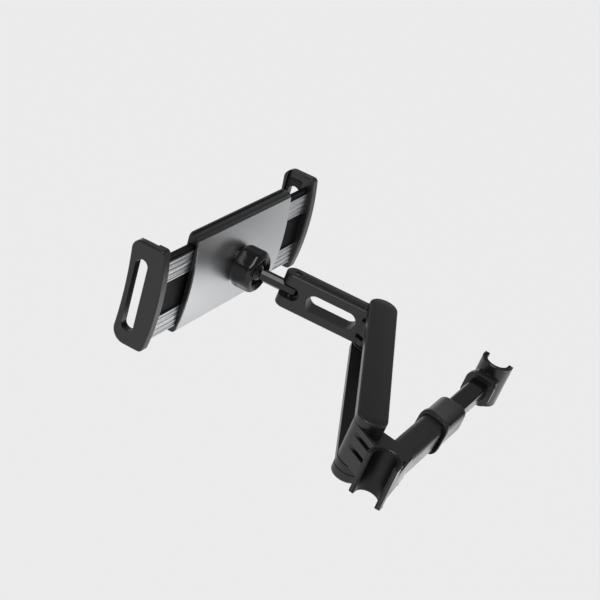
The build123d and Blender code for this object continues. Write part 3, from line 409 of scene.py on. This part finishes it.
def blasted_aluminium(colour):
    """Aluminium sheet, bead blasted and anodised: a soft silver that blurs what it mirrors."""
    material, tree, shader, place = start_material("blasted_aluminium", colour, metallic=1)
    # Blast dimples are about 0.1 mm, drawn at 0.5 mm so that they show
    fine = grain(tree, place, size=0.5)
    speckle(tree, shader, colour, fine, spread=0.04)
    surface(
        tree, shader, fine, grain(tree, place, size=30),
        rough=(0.34, 0.38), strength=0.06, depth=0.03,
    )
    return material


def drawn_aluminium(colour):
    """Aluminium strip, drawn to shape and anodised: bright, with fine lines along its length."""
    material, tree, shader, place = start_material("drawn_aluminium", colour, metallic=1)
    # Draw lines are finer than 0.1 mm, drawn at 0.5 mm so that they show
    lines = grain(tree, place, size=0.5, stretch=(0.004, 1, 1), detail=1.0)
    speckle(tree, shader, colour, lines, spread=0.12)
    surface(
        tree, shader, lines, grain(tree, place, size=8),
        rough=(0.3, 0.38), strength=0.06, depth=0.03, edge=0.1,
    )
    return material


def plated_steel(colour):
    """Steel, zinc plated: a cool grey metal with cloudy gloss."""
    material, tree, shader, place = start_material("plated_steel", colour, metallic=1)
    # The plating clouds over about 2 mm, and its crystals of 0.05 mm are drawn at 0.5 mm so that
    # they show
    cloud = grain(tree, place, size=2.0)
    speckle(tree, shader, colour, cloud, spread=0.1)
    surface(
        tree, shader, grain(tree, place, size=0.5), cloud,
        rough=(0.22, 0.36), strength=0.08, depth=0.03, edge=0.2,
    )
    return material


# The finish of each material slot, of the rims and of the sliders, with the setting that holds
# its colour
FINISHES = {
    "moulded_black": (moulded_nylon, "plastic"),
    "rim": (polished_nylon, "plastic"),
    "inlay_black": (satin_abs, "inlay"),
    "gloss_black": (polished_abs, "gloss"),
    "slider": (moulded_acetal, "inlay"),
    "soft_rubber": (moulded_rubber, "rubber"),
    "satin_aluminium": (blasted_aluminium, "plate"),
    "rail_metal": (drawn_aluminium, "rail"),
    "steel": (plated_steel, "steel"),
}


def finish_of(slot):
    """Material of a slot, made when the first piece needs it."""
    maker, setting = FINISHES[slot]
    made = bpy.data.materials.get(maker.__name__)
    return made or maker(getattr(bpy.context.scene.tablet_mount.finishes, setting))


def dress(nodes, finish=None):
    """Give CAD nodes, which keep their shape, the finish of their slot or another one."""
    for node in nodes:
        for place in frame["nodes"][node].material_slots:
            place.material = finish_of(finish or slot_of[node])


def deselect():
    """Leave edit mode with nothing selected, so that the next operator acts on the new piece."""
    if bpy.context.object and bpy.context.object.mode != "OBJECT":
        bpy.ops.object.mode_set(mode="OBJECT")
    bpy.ops.object.select_all(action="DESELECT")


def settle(piece, node, stands_for=True, finish=None):
    """Name a finished piece, give it a node's finish and body, and let it stand for that node."""
    bpy.ops.object.mode_set(mode="OBJECT")
    bpy.ops.object.shade_smooth_by_angle(angle=SMOOTH_ANGLE)
    piece.name = node + "_piece"
    piece.data.name = piece.name
    piece.data.materials.clear()
    piece.data.materials.append(finish_of(finish or slot_of[node]))
    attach(piece, body_of[node])
    if stands_for:
        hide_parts(node)


def copy_node(node):
    """New piece with a node's mesh, its faces joined and in edit mode with nothing selected."""
    deselect()
    piece = bpy.data.objects.new(node + "_piece", frame["nodes"][node].data.copy())
    bpy.context.scene.collection.objects.link(piece)
    piece.select_set(True)
    bpy.context.view_layer.objects.active = piece
    bpy.ops.mesh.customdata_custom_splitnormals_clear()
    bpy.ops.object.mode_set(mode="EDIT")
    bpy.ops.mesh.select_mode(type="EDGE")
    bpy.ops.mesh.select_all(action="SELECT")
    bpy.ops.mesh.remove_doubles(threshold=WELD)
    bpy.ops.mesh.select_all(action="DESELECT")
    return piece


def round_edges(edge):
    """Round the sharp edges of the piece in edit mode."""
    steps = bpy.context.scene.tablet_mount.edges.segments
    bpy.ops.mesh.select_mode(type="EDGE")
    bpy.ops.mesh.select_all(action="DESELECT")
    bpy.ops.mesh.edges_select_sharp(sharpness=SMOOTH_ANGLE)
    bpy.ops.mesh.bevel(offset=edge, segments=steps, profile=0.5, clamp_overlap=True)


def soften(nodes, edge):
    """Copy nodes and round their sharp edges, as a mould or a tumbler leaves them."""
    for node in nodes:
        piece = copy_node(node)
        round_edges(edge)
        settle(piece, node)


def pick_faces(piece, wanted):
    """Select the faces that answer to a test of their centre and normal, and go to edit mode."""
    bpy.ops.object.mode_set(mode="EDIT")
    bpy.ops.mesh.select_mode(type="FACE")
    bpy.ops.mesh.select_all(action="DESELECT")
    bpy.ops.object.mode_set(mode="OBJECT")
    for face in piece.data.polygons:
        face.select = wanted(face.center, face.normal)
    bpy.ops.object.mode_set(mode="EDIT")


def groove(piece, facing, along, pitch, depth):
    """Cut grooves, one each pitch along a direction, into the faces that face one way."""
    reach = [along.dot(vertex.co) for vertex in piece.data.vertices]
    steps = int((max(reach) - min(reach)) / pitch)
    start = (max(reach) + min(reach) - steps * pitch) / 2
    for step in range(2 * steps + 1):
        bpy.ops.mesh.select_all(action="SELECT")
        bpy.ops.mesh.bisect(plane_co=along * (start + step * pitch / 2), plane_no=along)

    def in_groove(centre, normal):
        # The first half of each pitch stays as a rib, and the second half is sunk
        turn = (along.dot(centre) - start) / pitch
        return normal.dot(facing) > FLAT and 0 < turn < steps and turn % 1 > 0.5

    pick_faces(piece, in_groove)
    bpy.ops.mesh.extrude_region_move(TRANSFORM_OT_translate={"value": -depth * facing})


def facing_back(away):
    """Turn of a card that stands off in a direction and looks back, its long side level."""
    return away.to_track_quat("Z", "Y").to_matrix().to_4x4()


class MOUNT_OT_post_brackets(Operator):
    """Moulded brackets at the two ends of the bar, with their saddles"""

    bl_idname = "mount.post_brackets"
    bl_label = "Post brackets"

    def execute(self, context):
        dress(("base_bracket", "far_bracket"))
        return {"FINISHED"}


class MOUNT_OT_saddle_cheek(Operator):
    """Tapered cheek that blends the near saddle's outer wall into the square tube"""

    bl_idname = "mount.saddle_cheek"
    bl_label = "Saddle cheek"

    def execute(self, context):
        size = context.scene.tablet_mount.details
        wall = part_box("base_bracket")[0].y + size.cheek_clear
        side = -size.tube_width / 2
        inner = side + size.cheek_seat
        # From the saddle's wall beside the post's axis to the tube's side, and back inside both
        corners = (
            (0, wall + size.cheek_seat), (0, wall), (size.cheek_length, side),
            (size.cheek_length, inner), (-wall, inner),
        )
        deselect()
        bpy.ops.mesh.primitive_circle_add(
            vertices=len(corners), radius=size.tube_width, fill_type="NGON",
        )
        piece = context.object
        for index, corner in zip(piece.data.polygons[0].vertices, corners):
            piece.data.vertices[index].co = (*corner, side)
        bpy.ops.object.mode_set(mode="EDIT")
        bpy.ops.mesh.select_all(action="SELECT")
        bpy.ops.mesh.extrude_region_move(TRANSFORM_OT_translate={"value": (0, 0, size.tube_width)})
        bpy.ops.mesh.select_all(action="SELECT")
        bpy.ops.mesh.normals_make_consistent(inside=False)
        round_edges(size.cheek_round)
        settle(piece, "base_bracket", stands_for=False)
        piece.name = "saddle_cheek"
        return {"FINISHED"}


def saddle_line(axis, facing, radius, reach):
    """New piece in edit mode: half a circle round a post, with straight ends, at height zero."""
    deselect()
    bpy.ops.mesh.primitive_circle_add(
        vertices=CIRCLE_STEPS, radius=radius, location=(axis.x, axis.y, 0),
    )
    bpy.ops.object.transform_apply(location=True)
    piece = bpy.context.object
    bpy.ops.object.mode_set(mode="EDIT")
    bpy.ops.mesh.bisect(plane_co=axis, plane_no=(facing, 0, 0), clear_outer=True)
    bpy.ops.object.mode_set(mode="OBJECT")
    for vertex in piece.data.vertices:
        vertex.select = abs(vertex.co.x - axis.x) < WELD
    bpy.ops.object.mode_set(mode="EDIT")
    bpy.ops.mesh.select_mode(type="VERT")
    bpy.ops.mesh.extrude_region_move(TRANSFORM_OT_translate={"value": (facing * reach, 0, 0)})
    bpy.ops.mesh.select_all(action="SELECT")
    return piece


# The liner, the bracket and the mount of each saddle, and the way that it opens along X
SADDLES = (
    ("near_liner", "base_bracket", "near_saddle", -1),
    ("far_liner", "far_bracket", "far_saddle", 1),
)


class MOUNT_OT_saddle_beads(Operator):
    """Round beads along the upper and lower rims of the saddles"""

    bl_idname = "mount.saddle_beads"
    bl_label = "Saddle beads"

    def execute(self, context):
        size = context.scene.tablet_mount.details
        for node, bracket, mount, facing in SADDLES:
            axis = Vector(mount_of[mount]["pos_m"])
            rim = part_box(bracket)[1].z + size.bead_rise
            radius = (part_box(node)[1].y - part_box(bracket)[0].y) / 2
            for level in (-rim, rim):
                piece = saddle_line(axis, facing, radius, size.liner_reach - size.bead_radius)
                bpy.ops.transform.translate(value=(0, 0, level))
                bpy.ops.object.mode_set(mode="OBJECT")
                bpy.ops.object.convert(target="CURVE")
                piece.data.bevel_depth = size.bead_radius
                piece.data.bevel_resolution = BEAD_STEPS
                piece.data.use_fill_caps = True
                bpy.ops.object.convert(target="MESH")
                settle(piece, bracket, stands_for=False, finish="rim")
                piece.name = mount + ("_upper_bead" if level > 0 else "_lower_bead")
        return {"FINISHED"}


class MOUNT_OT_post_liners(Operator):
    """Rubber half sleeves in the saddles, with a lip at each end"""

    bl_idname = "mount.post_liners"
    bl_label = "Post liners"

    def execute(self, context):
        for node, _, mount, facing in SADDLES:
            self.liner(context.scene.tablet_mount.details, node, mount_of[mount], facing)
        return {"FINISHED"}

    def liner(self, size, node, mount, facing):
        """One liner, modelled round its post."""
        low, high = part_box(node)
        axis = Vector(mount["pos_m"])
        piece = saddle_line(axis, facing, mount["dims"]["r_mm"] * MM, size.liner_reach)
        # The line is drawn up into a wall with breaks at its lips, and the wall gets its thickness
        bpy.ops.transform.translate(value=(0, 0, low.z))
        for rise in (size.liner_end, high.z - low.z - 2 * size.liner_end, size.liner_end):
            bpy.ops.mesh.extrude_region_move(TRANSFORM_OT_translate={"value": (0, 0, rise)})
        bpy.ops.mesh.select_all(action="SELECT")
        bpy.ops.mesh.normals_make_consistent(inside=False)
        bpy.ops.object.mode_set(mode="OBJECT")
        outward = sum(self.away(axis, face.center).dot(face.normal) for face in piece.data.polygons)
        wall = piece.modifiers.new("wall", "SOLIDIFY")
        wall.thickness = size.liner_wall
        wall.offset = 1 if outward > 0 else -1
        wall.use_even_offset = True
        bpy.ops.object.modifier_apply(modifier="wall")
        bpy.ops.object.mode_set(mode="EDIT")
        bpy.ops.mesh.select_all(action="SELECT")
        bpy.ops.mesh.normals_make_consistent(inside=False)

        def lip(centre, normal):
            turned = self.away(axis, centre).dot(normal) > TURNED
            return turned and abs(centre.z) > high.z - size.liner_end

        def end(centre, normal):
            return abs(centre.z) > high.z - WELD and abs(normal.z) > FLAT

        pick_faces(piece, lip)
        bpy.ops.mesh.extrude_region_shrink_fatten(
            TRANSFORM_OT_shrink_fatten={"value": size.liner_lip},
        )
        # A groove round each end parts the lip from the sleeve
        pick_faces(piece, end)
        bpy.ops.mesh.inset(thickness=size.liner_bead, use_even_offset=True)
        bpy.ops.mesh.extrude_region_shrink_fatten(
            TRANSFORM_OT_shrink_fatten={"value": -size.liner_end / 2},
        )
        round_edges(bpy.context.scene.tablet_mount.edges.fine)
        settle(piece, node)

    def away(self, axis, point):
        """Level direction from the post's axis to a point."""
        return Vector((point.x - axis.x, point.y - axis.y, 0)).normalized()


class MOUNT_OT_spring_bar(Operator):
    """Inner tube, the end collar that it slides in and the spring that it presses"""

    bl_idname = "mount.spring_bar"
    bl_label = "Spring bar"

    def execute(self, context):
        dress(("inner_tube", "guide_shoe", "spring_plug", "bar_screw"))
        soften(("end_collar",), context.scene.tablet_mount.edges.moulding)
        spring = copy_node("bar_spring")
        settle(spring, "bar_spring")
        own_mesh(spring)
        return {"FINISHED"}


class MOUNT_OT_long_arm(Operator):
    """Two plates of the long arm with the spacers and caps at their hinges"""

    bl_idname = "mount.long_arm"
    bl_label = "Long arm"

    def execute(self, context):
        dress(("upper_plate", "lower_plate"))
        dress(("shoulder_pin", "shoulder_nut", "elbow_pin", "elbow_nut"))
        caps = ("shoulder_spacer", "shoulder_cap", "elbow_spacer", "elbow_cap")
        soften(caps, context.scene.tablet_mount.edges.moulding)
        return {"FINISHED"}


class MOUNT_OT_arm_strips(Operator):
    """Dark strips let into the two arms"""

    bl_idname = "mount.arm_strips"
    bl_label = "Arm strips"

    def execute(self, context):
        nodes = ("upper_strip", "lower_strip", "short_top_strip", "short_bottom_strip")
        soften(nodes, context.scene.tablet_mount.edges.fine)
        return {"FINISHED"}


class MOUNT_OT_short_arm(Operator):
    """Short arm with its window and fork"""

    bl_idname = "mount.short_arm"
    bl_label = "Short arm"

    def execute(self, context):
        dress(("short_arm", "wrist_pin"))
        return {"FINISHED"}


class MOUNT_OT_ball_joint(Operator):
    """Ball stem and the cup that holds its ball"""

    bl_idname = "mount.ball_joint"
    bl_label = "Ball joint"

    def execute(self, context):
        dress(("ball_stem", "ball_liner", "seat_ring", "socket_cup", "cup_screws"))
        return {"FINISHED"}


class MOUNT_OT_collar_nut(Operator):
    """Lobed nut that tightens the ball joint"""

    bl_idname = "mount.collar_nut"
    bl_label = "Collar nut"

    def execute(self, context):
        size = context.scene.tablet_mount.details
        corners = [vertex.co - BALL for vertex in frame["nodes"]["collar_nut"].data.vertices]
        heights = [CRADLE_OUT.dot(corner) for corner in corners]
        back, front = min(heights), max(heights)
        radius = max(abs(corner.x) for corner in corners)
        ring = self.section(size, radius, back, front)
        deselect()
        bpy.ops.mesh.primitive_circle_add(vertices=LOBE_STEPS * size.lobes, radius=ring[0][0])
        piece = context.object
        bpy.ops.object.mode_set(mode="EDIT")
        bpy.ops.mesh.select_all(action="SELECT")
        bpy.ops.transform.translate(value=(0, 0, ring[0][1]))
        # The circle is drawn from corner to corner of the section until it meets its start
        for before, after in zip(ring, ring[1:] + ring[:1]):
            bpy.ops.mesh.extrude_region_move()
            share = after[0] / before[0]
            bpy.ops.transform.resize(value=(share, share, 1))
            bpy.ops.transform.translate(value=(0, 0, after[1] - before[1]))
        bpy.ops.mesh.select_all(action="SELECT")
        bpy.ops.mesh.remove_doubles(threshold=WELD)
        bpy.ops.mesh.normals_make_consistent(inside=False)
        bpy.ops.object.mode_set(mode="OBJECT")
        # Hollows between the lobes are pressed into the outer wall and fade over its rounded edges
        for vertex in piece.data.vertices:
            out = Vector((vertex.co.x, vertex.co.y, 0))
            share = (out.length - radius + size.nut_back) / size.nut_back
            if share > 0:
                wave = cos(size.lobes * out.to_2d().angle_signed(Vector((1, 0))))
                vertex.co -= out.normalized() * size.lobe_depth * share * (1 + wave) / 2
        turn = Matrix((CRADLE_ACROSS, CRADLE_UP, CRADLE_OUT)).transposed()
        piece.data.transform(Matrix.Translation(BALL) @ turn.to_4x4())
        settle(piece, "collar_nut")
        return {"FINISHED"}

    def section(self, size, radius, back, front):
        """Radius and height of each corner of the nut's section, outer wall first."""
        bore = radius - size.nut_wall
        arc = [pi / 2 * step / NUT_EDGE_STEPS for step in range(NUT_EDGE_STEPS + 1)]
        outer_front = [
            (radius - size.nut_front * (1 - cos(a)), front - size.nut_front * (1 - sin(a)))
            for a in arc
        ]
        # The back draws in over the height that the front edge's radius takes
        outer_back = [
            (radius - size.nut_back * (1 - sin(a)), back + size.nut_front * (1 - cos(a)))
            for a in arc
        ]
        inside = [
            (size.nut_mouth + size.nut_flare, front),
            (size.nut_mouth, front - size.nut_flare),
            (size.nut_mouth, front - size.nut_lip),
            (bore, front - size.nut_lip),
            (bore, back),
        ]
        return outer_front + inside + outer_back


class MOUNT_OT_cradle_shell(Operator):
    """Two shells of the cradle and the aluminium plate on its back"""

    bl_idname = "mount.cradle_shell"
    bl_label = "Cradle shell"

    def execute(self, context):
        dress(("rear_shell", "front_shell", "back_plate", "pinion", "pinion_axle"))
        return {"FINISHED"}


class MOUNT_OT_rubber_pads(Operator):
    """Ribbed rubber pads on the cradle's front and in its clamps"""

    bl_idname = "mount.rubber_pads"
    bl_label = "Rubber pads"

    def execute(self, context):
        size = context.scene.tablet_mount.details
        pads = (
            ("front_pad", -CRADLE_OUT, CRADLE_UP),
            ("left_clamp_pad", CRADLE_ACROSS, CRADLE_UP),
            ("right_clamp_pad", -CRADLE_ACROSS, CRADLE_UP),
        )
        for node, facing, along in pads:
            piece = copy_node(node)
            groove(piece, facing, along, size.pad_pitch, size.pad_groove)
            settle(piece, node)
        return {"FINISHED"}


class MOUNT_OT_clamps(Operator):
    """Side clamps with the sliders that carry them"""

    bl_idname = "mount.clamps"
    bl_label = "Clamps"

    def execute(self, context):
        dress(side + part for side in ("left", "right") for part in ("_clamp", "_clamp_screws"))
        dress(("left_slider", "right_slider"), "slider")
        return {"FINISHED"}


class MOUNT_OT_rails(Operator):
    """Grooved aluminium rails on the sliders"""

    bl_idname = "mount.rails"
    bl_label = "Rails"

    def execute(self, context):
        nodes = [
            side + level for side in ("left", "right") for level in ("_upper_rail", "_lower_rail")
        ]
        soften(nodes, context.scene.tablet_mount.edges.fine)
        return {"FINISHED"}


class MOUNT_OT_shell_screws(Operator):
    """Cross-recessed screws in the corners of the cradle's front"""

    bl_idname = "mount.shell_screws"
    bl_label = "Shell screws"

    def execute(self, context):
        size = context.scene.tablet_mount.details
        copy_node("shell_screws")
        bpy.ops.mesh.separate(type="LOOSE")
        bpy.ops.object.mode_set(mode="OBJECT")
        screws = list(context.selected_objects)
        for screw in screws:
            heights = [-CRADLE_OUT.dot(vertex.co) for vertex in screw.data.vertices]
            head = max(heights) - WELD
            top = [v.co for v, height in zip(screw.data.vertices, heights) if height > head]
            centre = sum(top, Vector()) / len(top)
            # A cutter's middle lies on the head's top, so only half of its height sinks in
            width, tall = size.recess / RECESS_RATIO, size.recess_depth * 2
            self.cut(screw, centre, (size.recess, width, tall))
            self.cut(screw, centre, (width, size.recess, tall))
        deselect()
        for screw in screws:
            screw.select_set(True)
        context.view_layer.objects.active = screws[0]
        bpy.ops.object.join()
        settle(screws[0], "shell_screws")
        return {"FINISHED"}

    def cut(self, screw, centre, size):
        """Sink a slot of that size into a screw's head."""
        deselect()
        bpy.ops.mesh.primitive_cube_add(size=1)
        cutter = bpy.context.object
        cutter.data.transform(
            Matrix.Translation(centre) @ facing_back(-CRADLE_OUT) @ Matrix.Diagonal((*size, 1))
        )
        bpy.context.view_layer.objects.active = screw
        slot = screw.modifiers.new("slot", "BOOLEAN")
        slot.operation = "DIFFERENCE"
        slot.object = cutter
        bpy.ops.object.modifier_apply(modifier="slot")
        bpy.data.objects.remove(cutter)


class MOUNT_OT_stage(Operator):
    """Floor, lights, surroundings and the photograph's camera"""

    bl_idname = "mount.stage"
    bl_label = "Stage"

    def execute(self, context):
        look = context.scene.tablet_mount.stage
        context.scene.view_settings.view_transform = "Standard"
        self.floor(context, look)
        self.room(context, look)
        self.lamps(look)
        self.cloth(context, look)
        self.camera(context)
        return {"FINISHED"}

    def floor(self, context, look):
        """Pale floor that glows evenly, well below the mount."""
        deselect()
        bpy.ops.mesh.primitive_plane_add(
            size=look.floor_size, location=(0, 0, cad_low.z - look.floor_drop)
        )
        floor = context.object
        floor.name = "floor"
        bpy.ops.object.transform_apply(location=True)
        material, _, shader, _ = start_material(
            "pale_floor", linear(FLOOR_SHADE), metallic=0, Roughness=1.0,
        )
        shader.inputs["Specular IOR Level"].default_value = 0
        shader.inputs["Emission Color"].default_value = (1, 1, 1, 1)
        shader.inputs["Emission Strength"].default_value = look.floor_glow
        floor.data.materials.append(material)

    def room(self, context, look):
        """Surroundings that fade from the floor's glow at the horizon to a dim ceiling."""
        world = bpy.data.worlds.new("dim_room")
        context.scene.world = world
        world.use_nodes = True
        tree = world.node_tree
        place = add(tree, "ShaderNodeTexCoord")
        split = add(tree, "ShaderNodeSeparateXYZ", None, {"Vector": place.outputs["Generated"]})
        fade = add(
            tree, "ShaderNodeMapRange",
            {
                "From Min": 0.0, "From Max": DIM_HEIGHT,
                "To Min": look.floor_glow, "To Max": look.sky_glow,
            },
            {"Value": split.outputs["Z"]}, interpolation_type="SMOOTHSTEP",
        )
        tree.links.new(fade.outputs["Result"], tree.nodes["Background"].inputs["Strength"])
        tree.nodes["Background"].inputs["Color"].default_value = (1, 1, 1, 1)

    def lamps(self, look):
        """White card and softbox."""
        # A white card below and beyond the bar is mirrored at a low angle by the faces along it
        near, far = (Vector(mount_of[end]["pos_m"]) for end in ("near_saddle", "far_saddle"))
        middle = (near + far) / 2
        self.lamp("white_card", look.card_glow, middle, CARD_WAY * CARD_DISTANCE, CARD_SIZE)
        # A long softbox overhead draws a light line along every rounded upper edge
        self.lamp("softbox", look.softbox_glow, (cad_low + cad_high) / 2, SOFTBOX_AT, SOFTBOX_SIZE)

    def cloth(self, context, look):
        """Dark cloth, itself unseen, that shades the upper half of what the back plate mirrors."""
        deselect()
        bpy.ops.mesh.primitive_plane_add(size=1)
        cloth = context.object
        cloth.name = "dark_cloth"
        spread = Matrix.Diagonal((*CLOTH_SIZE, 1, 1))
        cloth.data.transform(Matrix.Translation(BALL + CLOTH_AT) @ facing_back(CLOTH_WAY) @ spread)
        material, _, shader, _ = start_material(
            "dark_cloth", look.cloth_shade, metallic=0, Roughness=1.0,
        )
        shader.inputs["Specular IOR Level"].default_value = 0
        cloth.data.materials.append(material)
        cloth.visible_camera = False
        cloth.visible_shadow = False

    def camera(self, context):
        """Camera at the photograph's view."""
        lens = bpy.data.cameras.new("photo_camera")
        lens.sensor_width = SENSOR_MM
        lens.lens = FOCAL_PX / IMAGE_PX * SENSOR_MM
        camera = bpy.data.objects.new("photo_camera", lens)
        turn = Matrix((CAMERA_RIGHT, CAMERA_UP, CAMERA_RIGHT.cross(CAMERA_UP))).transposed()
        camera.matrix_world = Matrix.Translation(CAMERA_AT) @ turn.to_4x4()
        context.scene.collection.objects.link(camera)
        context.scene.camera = camera

    def lamp(self, name, glow, target, away, size):
        """Rectangular lamp off a target, which lights it and shows in what mirrors it only."""
        light = bpy.data.lights.new(name, "AREA")
        light.shape = "RECTANGLE"
        light.size, light.size_y = size
        # The power at which a lamp of this size looks as bright as its glow
        light.energy = glow * pi * size[0] * size[1]
        lamp = bpy.data.objects.new(name, light)
        lamp.matrix_world = Matrix.Translation(target + away) @ facing_back(away)
        lamp.visible_camera = False
        bpy.context.scene.collection.objects.link(lamp)


PIECES = (
    MOUNT_OT_post_brackets, MOUNT_OT_saddle_cheek, MOUNT_OT_saddle_beads, MOUNT_OT_post_liners,
    MOUNT_OT_spring_bar, MOUNT_OT_long_arm, MOUNT_OT_arm_strips, MOUNT_OT_short_arm,
    MOUNT_OT_ball_joint, MOUNT_OT_collar_nut, MOUNT_OT_cradle_shell, MOUNT_OT_rubber_pads,
    MOUNT_OT_shell_screws, MOUNT_OT_clamps, MOUNT_OT_rails, MOUNT_OT_stage,
)


class MOUNT_PT_pieces(Panel):
    """Buttons that build the mount piece by piece"""

    bl_label = "Tablet mount"
    bl_idname = "MOUNT_PT_pieces"
    bl_space_type = "VIEW_3D"
    bl_region_type = "UI"
    bl_category = "Mount"

    def draw(self, context):
        for piece in PIECES:
            self.layout.operator(piece.bl_idname)


CLASSES = (
    MountFinishes, MountEdges, MountDetails, MountStage, MountSettings, *PIECES, MOUNT_PT_pieces,
)


def register():
    """Add the mount's classes and settings to Blender."""
    for item in CLASSES:
        bpy.utils.register_class(item)
    bpy.types.Scene.tablet_mount = PointerProperty(type=MountSettings)


def unregister():
    """Take the mount's classes and settings out of Blender."""
    del bpy.types.Scene.tablet_mount
    for item in reversed(CLASSES):
        bpy.utils.unregister_class(item)


def main():
    """Build every piece and the stage in order."""
    register()
    for piece in PIECES:
        group, name = piece.bl_idname.split(".")
        getattr(getattr(bpy.ops, group), name)()


if __name__ == "__main__":
    main()
